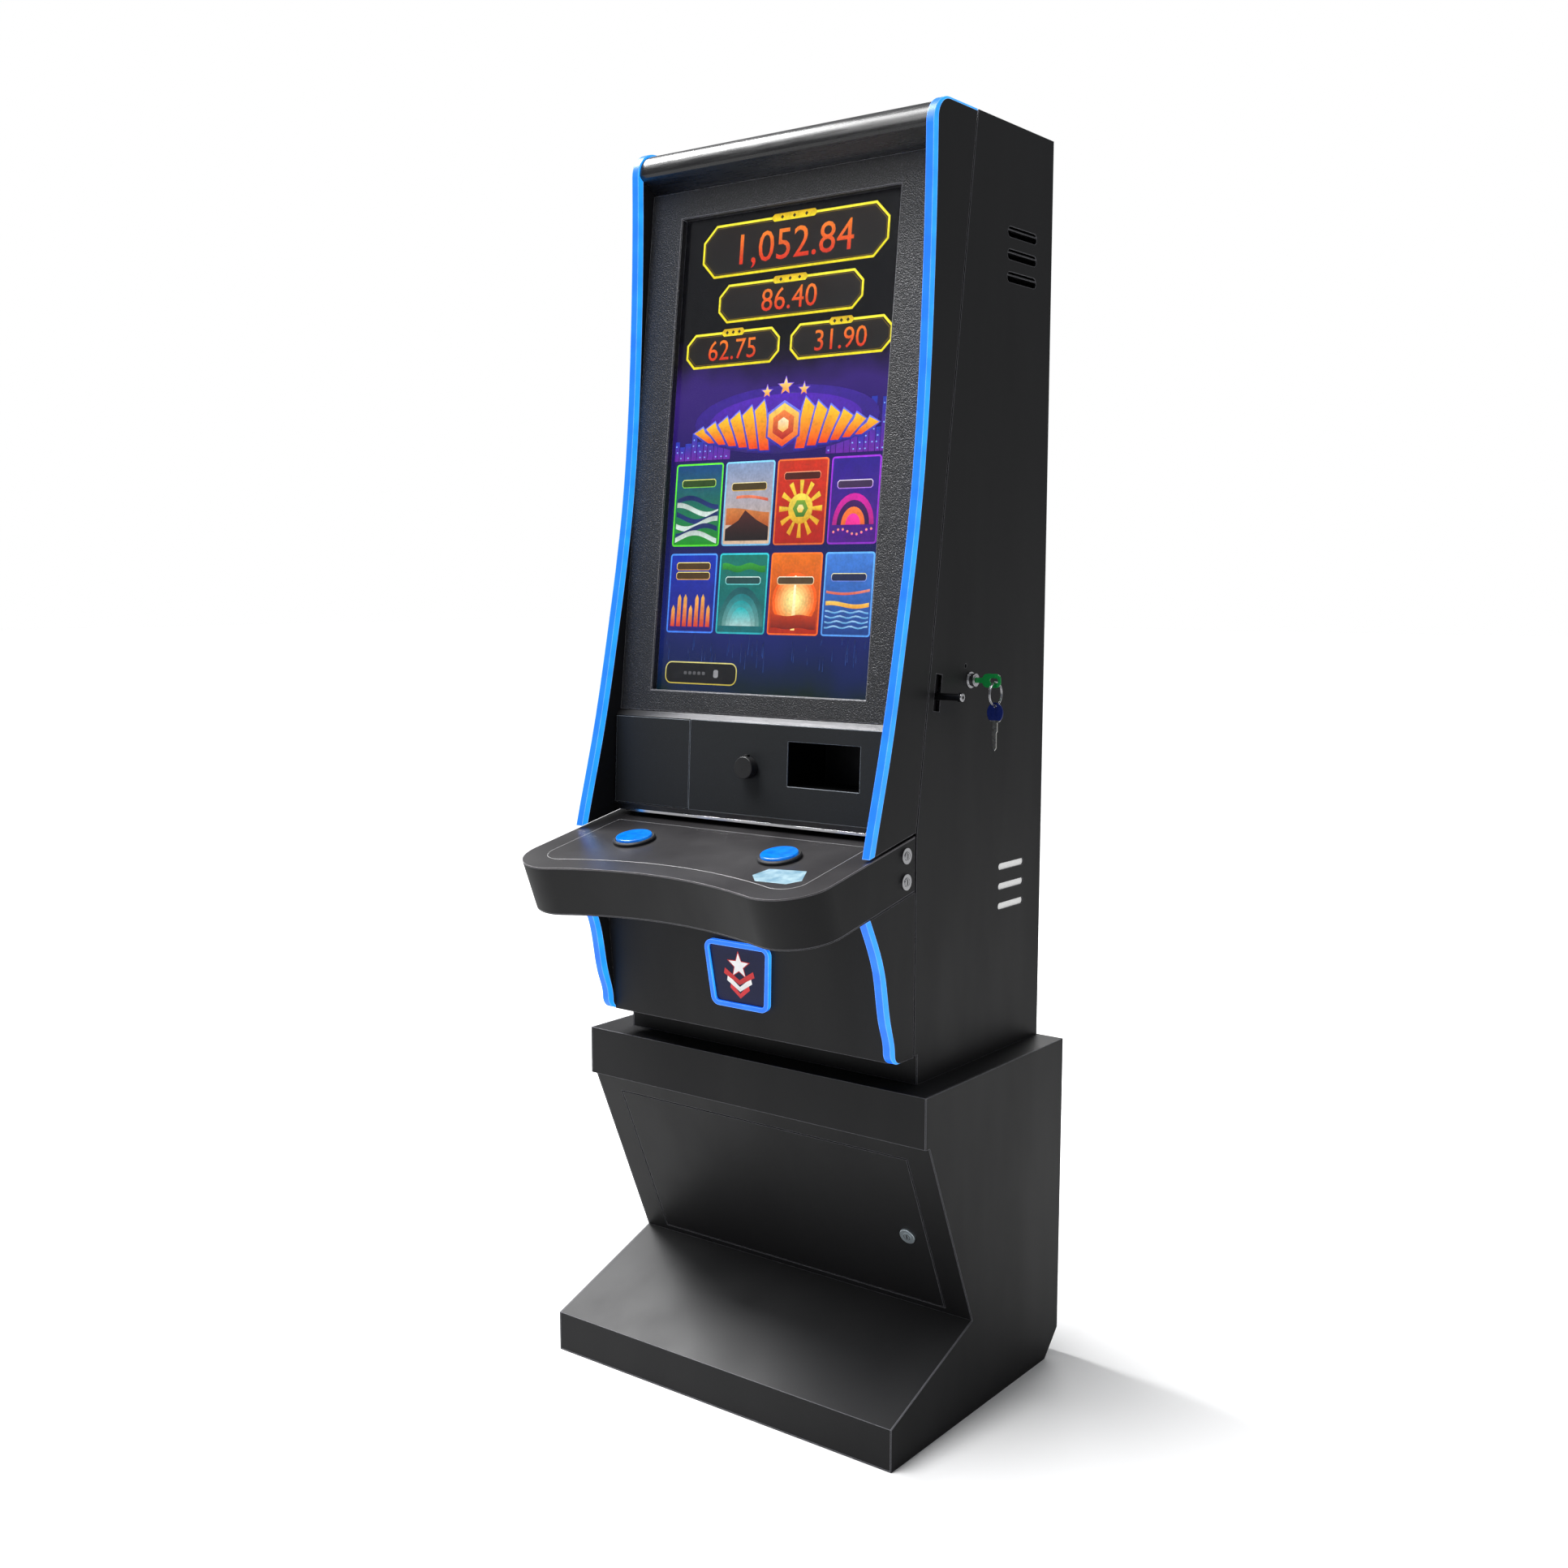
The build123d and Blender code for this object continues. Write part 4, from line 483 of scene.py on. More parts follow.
def collar(face, outlines, width, low, high):
    """A mesh of raised rims with soft shoulders, which follow outlines on a face."""
    shoulder = high * 0.7
    profile = ((0, low), (0, shoulder), (0.3, high), (0.7, high), (1, shoulder), (1, low))
    rims = bmesh.new()
    for points in outlines:
        loops = []
        for share, height in profile:
            outline = moved_in(points, width * share) if share else points
            loops.append([rims.verts.new(face.at(u, v, height)) for u, v in outline])
        for first, second in zip(loops, loops[1:]):
            for index in range(len(points)):
                after = (index + 1) % len(points)
                rims.faces.new((first[index], first[after], second[after], second[index]))
    mesh = bpy.data.meshes.new("rims")
    rims.to_mesh(mesh)
    rims.free()
    for polygon in mesh.polygons:
        polygon.use_smooth = True
    return mesh


# ---------------------------------------------------------------- finishes of the CAD nodes
DISPLAY = Face("touch_glass", (0, -1, 0.1))
BELLY = Face("emblem_plate", (0, -1, 0))
DECK = Face("deck_top", (0, 0, 1), rise=(0, 1, 0))


def screen_finish():
    """The lit panel: black at the head, violet haze behind the crest, deep blue towards the foot."""
    finish = Finish("screen", Base_Color=(0.004, 0.004, 0.006), Roughness=0.25)
    low = DISPLAY.at(0, -DISPLAY.height / 2)
    up = finish.calc("DIVIDE", finish.along(low, DISPLAY.up), DISPLAY.height)
    haze = finish.noise(9, detail=6)
    shifted = finish.calc("ADD", up, finish.remap(haze, 0.3, 0.7, -0.03, 0.03))
    colour = finish.ramp(
        shifted,
        (0.0, (0.004, 0.015, 0.012)),
        (0.07, (0.006, 0.016, 0.09)),
        (0.14, (0.012, 0.02, 0.16)),
        (0.4, (0.012, 0.012, 0.09)),
        (0.52, (0.025, 0.01, 0.15)),
        (0.63, (0.045, 0.018, 0.2)),
        (0.69, (0.012, 0.006, 0.03)),
        (0.73, (0.003, 0.003, 0.004)),
    )
    grid = finish.node("TexBrick", offset=0.0)
    finish.feed(grid.inputs["Vector"], finish.where)
    pixels = {"Scale": 1200, "Mortar Size": 0.02, "Color1": (1, 1, 1), "Color2": (0.92, 0.92, 1)}
    for socket, value in pixels.items():
        finish.feed(grid.inputs[socket], value)
    colour = finish.blend(0.25, colour, grid.outputs["Color"], "MULTIPLY")
    lit = finish.remap(finish.faces(DISPLAY.out), 0.9, 0.95)
    finish.set(Emission_Color=colour, Emission_Strength=lit)
    return finish.material


def ink(name, strength, roughness=0.4, mottle=0.12, contrast=1.0):
    """Lit or backlit colour taken from the mesh's corners, with a fine mottle."""
    finish = Finish(name, Roughness=roughness)
    tint = finish.node("VertexColor", layer_name="Tint").outputs["Color"]
    fine = finish.noise(260, detail=5)
    broad = finish.noise(60, detail=3)
    level = finish.calc("ADD", finish.remap(fine, 0.3, 0.7, -mottle, mottle),
                        finish.remap(broad, 0.3, 0.7, 1 - mottle, 1 + mottle))
    shade = finish.node("CombineColor")
    for socket in shade.inputs:
        finish.feed(socket, level)
    deep = finish.node("Gamma")
    deep.inputs["Gamma"].default_value = contrast
    finish.feed(deep.inputs["Color"], tint)
    colour = finish.blend(1.0, deep.outputs["Color"], shade.outputs["Color"], "MULTIPLY")
    finish.set(Emission_Color=colour, Emission_Strength=strength, Base_Color=(0.01, 0.01, 0.01))
    return finish.material


def two_tone_key(name, bow, blade_below):
    """A key: a plastic bow, and plated metal below a height in the frame."""
    finish = Finish(name)
    metal = finish.remap(finish.along((0, 0, blade_below), (0, 0, 1)), 0.0, -0.2 * MM)
    cuts = finish.noise(400, detail=3)
    plated = finish.blend(cuts, (0.5, 0.5, 0.48), (0.75, 0.74, 0.7))
    plastic = finish.blend(cuts, scaled(bow, 0.8), scaled(bow, 1.2))
    finish.set(
        Base_Color=finish.blend(metal, plastic, plated),
        Metallic=metal,
        Roughness=finish.remap(cuts, 0.3, 0.7, 0.25, 0.4),
    )
    finish.bump(cuts, 0.03 * MM, finish.edges(0.4 * MM)[0])
    return finish.material


BLACK = (0.01, 0.01, 0.011)
LED_BLUE = (0.012, 0.17, 1.0)
LED_FLANK = (0.02, 0.33, 1.0)
LED_RIM = (0.3, 0.65, 1.0)
BLUE_BLADE_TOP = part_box("blue_key")[0].z + 44 * MM
FINISHES = {
    "stand_paint": powder_coat("stand_paint", BLACK, grain=0.8 * MM, roughness=0.48),
    "cabinet_paint": powder_coat("cabinet_paint", BLACK, grain=0.7 * MM, roughness=0.5),
    "bezel_paint": powder_coat("bezel_paint", (0.02, 0.02, 0.022), grain=2.0 * MM, roughness=0.38,
                               relief=1.6 * MM, gloss=0.5, peel_highlight=5),
    "panel_paint": powder_coat("panel_paint", (0.013, 0.0145, 0.0165), grain=0.9 * MM, roughness=0.55),
    "gloss_black": gloss_paint("gloss_black", (0.006, 0.006, 0.007), 0.24),
    "deck_laminate": powder_coat("deck_laminate", (0.016, 0.015, 0.016), grain=0.5 * MM, roughness=0.34,
                                 relief=0.02 * MM, gloss=0.5),
    "light_strip": lit_diffuser("light_strip", LED_BLUE, LED_RIM, LED_FLANK, 1.1, 1.8 * MM),
    "button_blue": button_finish(),
    "black_plastic": moulded("black_plastic", (0.013, 0.013, 0.014)),
    "glass": clear_glass("glass"),
    "screen": screen_finish(),
    "chrome": bare_metal("chrome", (0.62, 0.62, 0.64), roughness=0.12, stain=0.15),
    "zinc": bare_metal("zinc", (0.62, 0.63, 0.65), roughness=0.34, stain=0.6),
    "black_steel": bare_metal("black_steel", (0.03, 0.03, 0.033), roughness=0.4),
    "emblem_face": powder_coat("emblem_face", (0.008, 0.012, 0.075), roughness=0.3, relief=0.01 * MM),
    "filter_white": woven_filter("filter_white", (0.97, 0.97, 0.96)),
    "green_plastic": moulded("green_plastic", (0.01, 0.34, 0.07), roughness=0.3),
    "blue_plastic": two_tone_key("blue_plastic", (0.008, 0.02, 0.16), BLUE_BLADE_TOP),
    "aluminium": bare_metal("aluminium", (0.55, 0.56, 0.57), roughness=0.32, brushed=(0.05, 1, 1)),
}
for part in frame["record"]["subparts"]:
    for holder in NODES[part["node"]].material_slots:
        holder.link = "OBJECT"
        holder.material = FINISHES[part["material_slot"]]
LEDGE_METAL = bare_metal("ledge_metal", (0.08, 0.08, 0.083), roughness=0.42, brushed=(0.03, 1, 1))
LOCK_METAL = bare_metal("lock_metal", (0.74, 0.84, 0.9), roughness=0.36, stain=0.3)
METALS = {"door_crossbars": LEDGE_METAL, "stand_lock_body": LOCK_METAL, "stand_lock_plug": LOCK_METAL}
for node, metal in METALS.items():
    for holder in NODES[node].material_slots:
        holder.material = metal

# ---------------------------------------------------------------- the picture on the display
PICTURE_LIFT = 0.15 * MM
GLASS_LAP = 4 * MM
HALF_WIDE = DISPLAY.width / 2 - GLASS_LAP - 4 * MM
FOOT = -DISPLAY.height / 2 + GLASS_LAP
GLASS_FRONT_TO_PANEL = 3 * MM
LIT = ink("picture_light", 1.1, contrast=1.3)
YELLOW = (0.9, 0.78, 0.02)
random.seed(7)


def on_display():
    """A picture just in front of the panel, behind the face of the glass."""
    return Picture(DISPLAY, PICTURE_LIFT - GLASS_FRONT_TO_PANEL)


def up_display(millimetres):
    """Height of a point on the display, measured from the foot of its opening."""
    return FOOT + millimetres * MM


def meter(picture, centre, size, text):
    """A chamfered yellow frame round a number in warm colours, with a small tab on its head."""
    x, y = centre
    width, height = size
    cut = height * 0.3
    outer = chamfered(centre, width, height, cut)
    inner = chamfered(centre, width - 10 * MM, height - 10 * MM, cut * 0.9)
    picture.shape(outer, (0.006, 0.004, 0.003), (0.02, 0.007, 0.004))
    picture.ring(outer, 3.6 * MM, YELLOW, (1.0, 0.92, 0.08))
    picture.ring(inner, 0.8 * MM, (0.3, 0.2, 0.01))
    tab = y + height / 2 - 1.8 * MM
    picture.shape(chamfered((x, tab), width * 0.24, 11 * MM, 4 * MM), (0.95, 0.8, 0.03), (0.75, 0.5, 0.01))
    for step in (-1, 0, 1):
        dot = (x + step * width * 0.065, tab)
        picture.shape(chamfered(dot, 6 * MM, 6 * MM, 3 * MM), (0.03, 0.01, 0.0))
    figures = (x, y - height * 0.05)
    picture.numerals(text, figures, height * 0.58, (0.75, 0.03, 0.01), (0.95, 0.3, 0.03))


# What is drawn on the display is placed in millimetres from its middle and its foot.
# Each meter has a centre, a size and its figures.
METERS = [
    ((6, 667), (341, 80), "1,052.84"),
    ((6, 586), (266, 58), "86.40"),
    ((-95, 518), (179, 53), "62.75"),
    ((104, 518), (180, 53), "31.90"),
]
meters = on_display()
for (x, v), (width, height), text in METERS:
    meter(meters, (x * MM, up_display(v)), (width * MM, height * MM), text)
meters.finish("picture_meters", LIT, "display_door", "screen")


CREST_MIDDLE = 12
CREST_FOOT = 362
WING_BARS = 6
WING_BAR_WIDE = 17
GEM = (0, 36)
BLUE_LINE = ((0.03, 0.03, 0.4), (0.25, 0.3, 1.0))
GOLD = ((0.9, 0.09, 0.005), (1.0, 0.72, 0.04))


def on_crest(across, up):
    """A point given in millimetres from the crest's foot."""
    return (CREST_MIDDLE + across) * MM, up_display(CREST_FOOT + up)


def wing_bar(picture, side, step, margin, shades):
    """One slanted bar of a wing, with a pointed head, made wider by a margin."""
    foot, tall, lean = 24 + 20 * step, 74 - 7 * step, 14 + 3 * step
    low, shoulder = 3 * step - margin, tall * 0.8
    near, far = foot - margin, foot + WING_BAR_WIDE + margin
    head = [(far + lean, shoulder), (foot + lean, tall + margin), (near + lean - 4, shoulder)]
    bar = [(near, low), (far, low), *head]
    outline = [on_crest(side * u, v) for u, v in bar]
    picture.shape(outline[::side], *shades)


def crest(picture):
    """A generic winged crest: a faceted gem between fans of slanted gold bars, with three stars."""
    for wide, tall, colour in ((170, 50, (0.05, 0.015, 0.24)), (140, 38, (0.09, 0.02, 0.34))):
        halo = [on_crest(wide * u, 44 + tall * v) for u, v in disc((0, 0), 1, 32)]
        picture.shape(halo, colour, scaled(colour, 1.6))
    for side in (-1, 1):
        for step in reversed(range(WING_BARS)):
            wing_bar(picture, side, step, 3, BLUE_LINE)
            wing_bar(picture, side, step, 0, GOLD)
    facets = [
        (36, (0.03, 0.03, 0.4), (0.3, 0.35, 1.0)),
        (32, (0.9, 0.1, 0.01), (1.0, 0.8, 0.2)),
        (22, (0.5, 0.01, 0.03), (1.0, 0.35, 0.1)),
        (11, (1.0, 0.5, 0.1), (1.0, 0.95, 0.7)),
    ]
    for reach, low, high in facets:
        picture.shape(disc(on_crest(*GEM), reach * MM, 6, QUARTER_TURN), low, high)
    for side, reach in ((-1, 9), (0, 13), (1, 9)):
        centre = on_crest(side * 34, 92 - 6 * abs(side))
        picture.shape(star(centre, (reach + 3) * MM), (0.1, 0.05, 0.5), (0.5, 0.3, 1.0))
        picture.shape(star(centre, reach * MM), (1.0, 0.35, 0.02), (1.0, 0.95, 0.4))


SKYLINE_FOOT = 352
CREST_HALF = 95 * MM
TOWER_GAP = 1 * MM
WINDOW_PITCH = 9 * MM


def skyline(picture):
    """Violet towers with lit windows, either side of the crest."""
    low = up_display(SKYLINE_FOOT)
    for side in (-1, 1):
        x = HALF_WIDE - TOWER_GAP
        while x > CREST_HALF:
            wide = random.uniform(6, 13) * MM
            tall = random.uniform(20, 85) * MM * (0.5 + 0.5 * x / HALF_WIDE)
            left = side * x if side < 0 else x - wide
            tower = [(left, low), (left + wide, low), (left + wide, low + tall), (left, low + tall)]
            picture.shape(tower, (0.22, 0.03, 0.45), (0.03, 0.07, 0.5))
            for row in range(int(tall / WINDOW_PITCH)):
                if random.random() < 0.6:
                    spot = (left + wide * random.uniform(0.25, 0.75), low + (row + 0.5) * WINDOW_PITCH)
                    window = chamfered(spot, 2.5 * MM, 2 * MM, 0.4 * MM)
                    picture.shape(window, (0.35, 0.6, 1.0), layer=picture.layer + 0.5)
            x -= wide + TOWER_GAP


title = on_display()
skyline(title)
crest(title)
title.finish("picture_title", LIT, "display_door", "screen")


class Tile:
    """One game tile: a framed picture whose shapes are placed by shares of its width and height."""

    def __init__(self, picture, left, low, width, height):
        self.picture = picture
        self.left, self.low, self.width, self.height = left, low, width, height

    def spot(self, across, up):
        """A point of the display from shares of the tile."""
        return (self.left + self.width * across, self.low + self.height * up)

    def poly(self, points, colour, top=None):
        """A filled outline."""
        self.picture.shape([self.spot(*point) for point in points], colour, top)

    def ball(self, across, up, radius, colour, top=None, count=18):
        """A disc, or a polygon when its count of corners is low."""
        self.picture.shape(disc(self.spot(across, up), radius * self.width, count), colour, top)

    def arch(self, up, radius, stretch):
        """The outline of a half-round arch that stands on a height."""
        angles = [pi * n / 14 for n in range(15)]
        return [(0.5 + radius * cos(angle), up + radius * stretch * sin(angle)) for angle in angles]

    def band(self, up, thick, swing, turns, phase, colour, top=None, span=(0.06, 0.94)):
        """A wavy band across the tile."""
        count = 14
        steps = [span[0] + (span[1] - span[0]) * n / count for n in range(count + 1)]
        waves = [(a, up + swing * sin(tau * turns * a + phase)) for a in steps]
        self.poly(waves + [(a, v - thick) for a, v in waves[::-1]], colour, top)

    def begin(self, sky_low, sky_high, edge):
        """The sky behind everything else, and the colour of the edge to come."""
        self.outline = rounded(self.spot(0.5, 0.5), self.width, self.height, 5 * MM)
        self.edge = edge
        self.picture.shape(self.outline, sky_low, sky_high)

    def close(self):
        """The tile's edge, drawn last."""
        self.picture.ring(self.outline, 2.6 * MM, self.edge, scaled(self.edge, 1.4))

    def name_plate(self, up, colour, top):
        """A dark plate with a bright rim and no wording."""
        plate = chamfered(self.spot(0.5, up), self.width * 0.72, self.height * 0.1, 3 * MM)
        self.picture.shape(plate, scaled(colour, 0.15))
        self.picture.ring(plate, 1.2 * MM, colour, top)


def waves_tile(tile):
    """Dark and pale waves under a green sky."""
    tile.begin((0.02, 0.35, 0.03), (0.01, 0.1, 0.3), (0.15, 0.75, 0.05))
    for step in range(6):
        colour = (0.75, 0.85, 0.8) if step % 2 else (0.02, 0.06, 0.25)
        tile.band(0.56 - 0.085 * step, 0.06, 0.06, 0.8, step * 1.1, colour, scaled(colour, 0.7))
    tile.name_plate(0.76, (0.3, 0.75, 0.1), (0.9, 0.9, 0.3))


def mesa_tile(tile):
    """A flat-topped hill under a pale sky."""
    tile.begin((0.75, 0.55, 0.4), (0.3, 0.4, 0.6), (0.25, 0.55, 0.8))
    tile.band(0.42, 0.2, 0.03, 0.6, 1.0, (0.5, 0.12, 0.02), (0.7, 0.3, 0.1))
    ridge = [(0.06, 0.06), (0.94, 0.06), (0.94, 0.22), (0.7, 0.3), (0.45, 0.42), (0.32, 0.3), (0.06, 0.2)]
    tile.poly(ridge, (0.015, 0.008, 0.01), (0.12, 0.03, 0.03))
    tile.band(0.55, 0.035, 0.05, 0.5, 0.2, (0.65, 0.1, 0.05), (0.9, 0.35, 0.2), span=(0.25, 0.9))
    tile.name_plate(0.7, (0.75, 0.5, 0.1), (0.95, 0.85, 0.5))


def rays_tile(tile):
    """A gold wheel of rays on red."""
    tile.begin((0.5, 0.02, 0.01), (0.7, 0.06, 0.02), (0.75, 0.2, 0.05))
    for step in range(12):
        turn = tau * step / 12
        ends = [(0.5 + 0.42 * cos(turn + d), 0.42 + 0.34 * sin(turn + d)) for d in (-0.1, 0.1)]
        tile.poly([(0.5, 0.42), *ends], (0.75, 0.4, 0.02), (0.95, 0.75, 0.1))
    tile.ball(0.5, 0.42, 0.24, (0.75, 0.45, 0.03), (0.95, 0.8, 0.15))
    tile.ball(0.5, 0.42, 0.15, (0.08, 0.25, 0.05), (0.3, 0.5, 0.08), count=6)
    tile.ball(0.5, 0.42, 0.07, (0.9, 0.6, 0.1), (1.0, 0.9, 0.5), count=6)
    tile.name_plate(0.8, (0.8, 0.1, 0.05), (1.0, 0.5, 0.3))


def dome_tile(tile):
    """Nested arches with a row of lamps."""
    tile.begin((0.12, 0.01, 0.3), (0.05, 0.02, 0.35), (0.35, 0.05, 0.6))
    for radius, colour in ((0.42, (0.5, 0.02, 0.3)), (0.33, (0.06, 0.01, 0.12)), (0.24, (0.85, 0.2, 0.05)),
                           (0.15, (0.9, 0.05, 0.35))):
        tile.poly(tile.arch(0.22, radius, 0.85), colour, scaled(colour, 1.5))
    for step in range(9):
        tile.ball(0.12 + 0.095 * step, 0.14 + 0.03 * sin(step), 0.025, (0.9, 0.1, 0.5), (1.0, 0.6, 0.2), 6)
    tile.name_plate(0.68, (0.6, 0.3, 0.9), (0.95, 0.85, 1.0))


def towers_tile(tile):
    """Pointed towers in a row."""
    tile.begin((0.03, 0.02, 0.25), (0.01, 0.06, 0.5), (0.1, 0.3, 0.9))
    for step in range(7):
        x = 0.12 + 0.125 * step
        head = 0.3 + 0.16 * abs(sin(step * 2.1))
        walls = [(x - 0.045, 0.08), (x + 0.045, 0.08)]
        tower = [*walls, (x + 0.035, head), (x, head + 0.05), (x - 0.035, head)]
        tile.poly(tower, (0.7, 0.08, 0.05), (0.9, 0.55, 0.15))
    for level in (0.84, 0.72):
        tile.name_plate(level, (0.8, 0.45, 0.1), (0.95, 0.85, 0.3))


def bay_tile(tile):
    """Arches of water under green leaves."""
    tile.begin((0.0, 0.2, 0.22), (0.01, 0.25, 0.2), (0.05, 0.5, 0.55))
    for radius in (0.46, 0.38, 0.3, 0.22):
        shade = 1.6 * (0.5 - radius)
        low, high = (0.01 + shade, 0.2 + shade, 0.18 + shade), (0.01, 0.08 + shade, 0.1 + shade)
        tile.poly(tile.arch(0.1, radius, 1.05), low, high)
    tile.band(0.86, 0.08, 0.02, 2.0, 0.0, (0.02, 0.25, 0.04), (0.08, 0.45, 0.08))
    tile.name_plate(0.66, (0.2, 0.75, 0.75), (0.85, 1.0, 0.95))


def sunset_tile(tile):
    """A low sun with its light on the water."""
    tile.begin((0.5, 0.03, 0.01), (0.85, 0.25, 0.02), (0.9, 0.2, 0.03))
    for step in range(7):
        reach = 0.44 - 0.055 * step
        warm = (0.9, 0.18 + 0.11 * step, 0.02 + 0.06 * step)
        tile.ball(0.5, 0.42, reach, warm, scaled(warm, 1.1))
    tile.poly([(0.46, 0.06), (0.54, 0.06), (0.515, 0.72), (0.485, 0.72)], (1.0, 0.75, 0.3), (1.0, 1.0, 0.8))
    tile.band(0.24, 0.16, 0.01, 2.0, 0.0, (0.25, 0.02, 0.01), (0.6, 0.08, 0.02))
    tile.name_plate(0.66, (0.9, 0.6, 0.3), (1.0, 0.95, 0.8))


def bridge_tile(tile):
    """A bridge over striped water."""
    tile.begin((0.02, 0.08, 0.3), (0.1, 0.3, 0.75), (0.15, 0.4, 0.85))
    tile.band(0.4, 0.05, 0.02, 1.0, 0.5, (0.85, 0.4, 0.05), (0.95, 0.7, 0.2))
    for step in range(4):
        tile.band(0.3 - 0.06 * step, 0.02, 0.012, 3.0, step, (0.1, 0.4, 0.7), (0.5, 0.7, 0.9))
    tile.band(0.56, 0.03, 0.04, 0.5, 3.4, (0.7, 0.15, 0.1), (0.9, 0.4, 0.3))
    tile.name_plate(0.7, (0.2, 0.3, 0.8), (0.9, 0.85, 0.5))


TILE_WIDE = 93
TILE_PITCH = 98
TILES_LEFT, TILES_RIGHT = -189, 191
TILE_ROWS = [(221, 126), (89, 121)]  # foot and height
TILE_ART = [
    [waves_tile, mesa_tile, rays_tile, dome_tile],
    [towers_tile, bay_tile, sunset_tile, bridge_tile],
]
tiles = on_display()
for (low, tall), row in zip(TILE_ROWS, TILE_ART):
    for column, draw in enumerate(row):
        left = TILES_LEFT + TILE_PITCH * column
        wide = min(TILE_WIDE, TILES_RIGHT - left)
        tiles.layer = 0
        tile = Tile(tiles, left * MM, up_display(low), wide * MM, tall * MM)
        draw(tile)
        tile.close()
tiles.finish("picture_tiles", LIT, "display_door", "screen")

FOOTER_UP = 28
FOOTER_BOX = (141 * MM, 34 * MM)
RAIN_STREAKS = 46


def rain(picture):
    """Faint streaks of light under the tiles."""
    for streak in range(RAIN_STREAKS):
        x = random.uniform(-188, 188) * MM
        high = random.uniform(45, 84)
        long = random.uniform(6, 30)
        outline = chamfered((x, up_display(high)), 0.9 * MM, long * MM, 0.3 * MM)
        picture.shape(outline, (0.02, 0.1, 0.35), (0.01, 0.02, 0.1), layer=1)
    picture.layer = 1


def credit_box(picture):
    """A rounded box with a row of grey marks and a paler one."""
    line = up_display(FOOTER_UP)
    box = rounded((-115 * MM, line), *FOOTER_BOX, 12 * MM)
    picture.shape(box, (0.006, 0.006, 0.012))
    picture.ring(box, 1.8 * MM, (0.6, 0.5, 0.1), (0.75, 0.7, 0.3))
    for step in range(5):
        mark = chamfered(((9 * step - 145) * MM, line), 6 * MM, 5 * MM, 1 * MM)
        picture.shape(mark, (0.16, 0.16, 0.17))
    picture.shape(chamfered((-85 * MM, line), 9 * MM, 12 * MM, 2 * MM), (0.4, 0.4, 0.42))


footer = on_display()
rain(footer)
credit_box(footer)
footer.finish("picture_footer", LIT, "display_door", "screen")

# ---------------------------------------------------------------- emblem
PRINT = ink("emblem_print", 0.9, roughness=0.25, mottle=0.05)


def emblem_art():
    """A generic star over folded ribbons, printed on the lit plate."""
    art = Picture(BELLY, 0.05 * MM)
    half = BELLY.height / 2
    for step, colour in enumerate(((0.6, 0.02, 0.03), (0.8, 0.8, 0.82), (0.5, 0.015, 0.02))):
        low = -half * 0.82 + step * half * 0.24
        reach = half * (0.42 + 0.12 * step)
        for side in (-1, 1):
            tip = side * reach
            ends = [(tip, low + half * 0.34), (tip * 0.92, low + half * 0.54)]
            ribbon = [(0, low), *ends, (0, low + half * 0.17)]
            art.shape(ribbon[::side], colour, scaled(colour, 1.3))
    for radius, colour in ((0.52, (0.5, 0.015, 0.02)), (0.44, (0.85, 0.86, 0.9))):
        art.shape(star((0, half * 0.34), half * radius), colour, scaled(colour, 1.2))
    return art


emblem_art().finish("emblem_print", PRINT, "cabinet", "emblem_face")

# ---------------------------------------------------------------- deck top
OVERLAY_INSET = 37 * MM
DECK_CORNER = 70 * MM
DECK_WAIST_IN = 29.5 * MM
OVERLAY_BACK = 60 * MM
OVERLAY_THICK = 0.35 * MM


def deck_edge(inset):
    """The deck's outline from its centre: round front corners joined by one hollow curve."""
    half, reach = DECK.width / 2, DECK.height / 2
    corner_u, corner_v = half - DECK_CORNER, DECK_CORNER - reach
    corner = DECK_CORNER - inset
    rise = reach - DECK_WAIST_IN - inset + corner_v
    hollow = (corner_u ** 2 + rise ** 2 - corner ** 2) / (2 * (corner - rise))
    hollow_v = corner_v - rise - hollow
    turn = asin(corner_u / hypot(corner_u, corner_v - hollow_v))
    right = disc((corner_u, corner_v), corner, 12, 0, -QUARTER_TURN - turn)
    middle = disc((0, hollow_v), hollow, 16, QUARTER_TURN - turn, 2 * turn)
    left = disc((-corner_u, corner_v), corner, 12, turn - QUARTER_TURN, -QUARTER_TURN - turn)
    back = reach - OVERLAY_BACK
    return [(half - inset, back), *right, *middle[1:-1], *left, (inset - half, back)][::-1]


def deck_overlay():
    """The printed film on the deck, with a fine pale line round its edge that is a painted highlight."""
    film = deck_edge(OVERLAY_INSET)
    sheet = slab(DECK, [film], 0, OVERLAY_THICK)
    line = collar(DECK, [film], 1.1 * MM, 0.2 * MM, 0.5 * MM)
    # Painted highlight: the raised line round the film is paler than the deck.
    pale = powder_coat("overlay_line", (0.05, 0.05, 0.052), roughness=0.3, relief=0.01 * MM)
    add_piece("deck_overlay", sheet, FINISHES["deck_laminate"], "cabinet", bevel=0.15 * MM)
    add_piece("deck_overlay_line", line, pale, "cabinet")


STICKER_POINTS = [(-38, -12), (-20, -30), (30, -27), (44, -10), (28, 24), (-30, 16)]
STICKER_RIGHT = 178 * MM
STICKER_FROM_FRONT = 84 * MM


def sticker_finish():
    """Pale printed film with a faint blue wash and no wording."""
    finish = Finish("sticker", Roughness=0.3, Coat_Weight=0.3)
    wash = finish.remap(finish.noise(70, detail=4), 0.35, 0.65)
    finish.set(Base_Color=finish.blend(wash, (0.14, 0.26, 0.34), (0.3, 0.43, 0.48)))
    finish.bump(finish.noise(500), 0.02 * MM)
    return finish.material


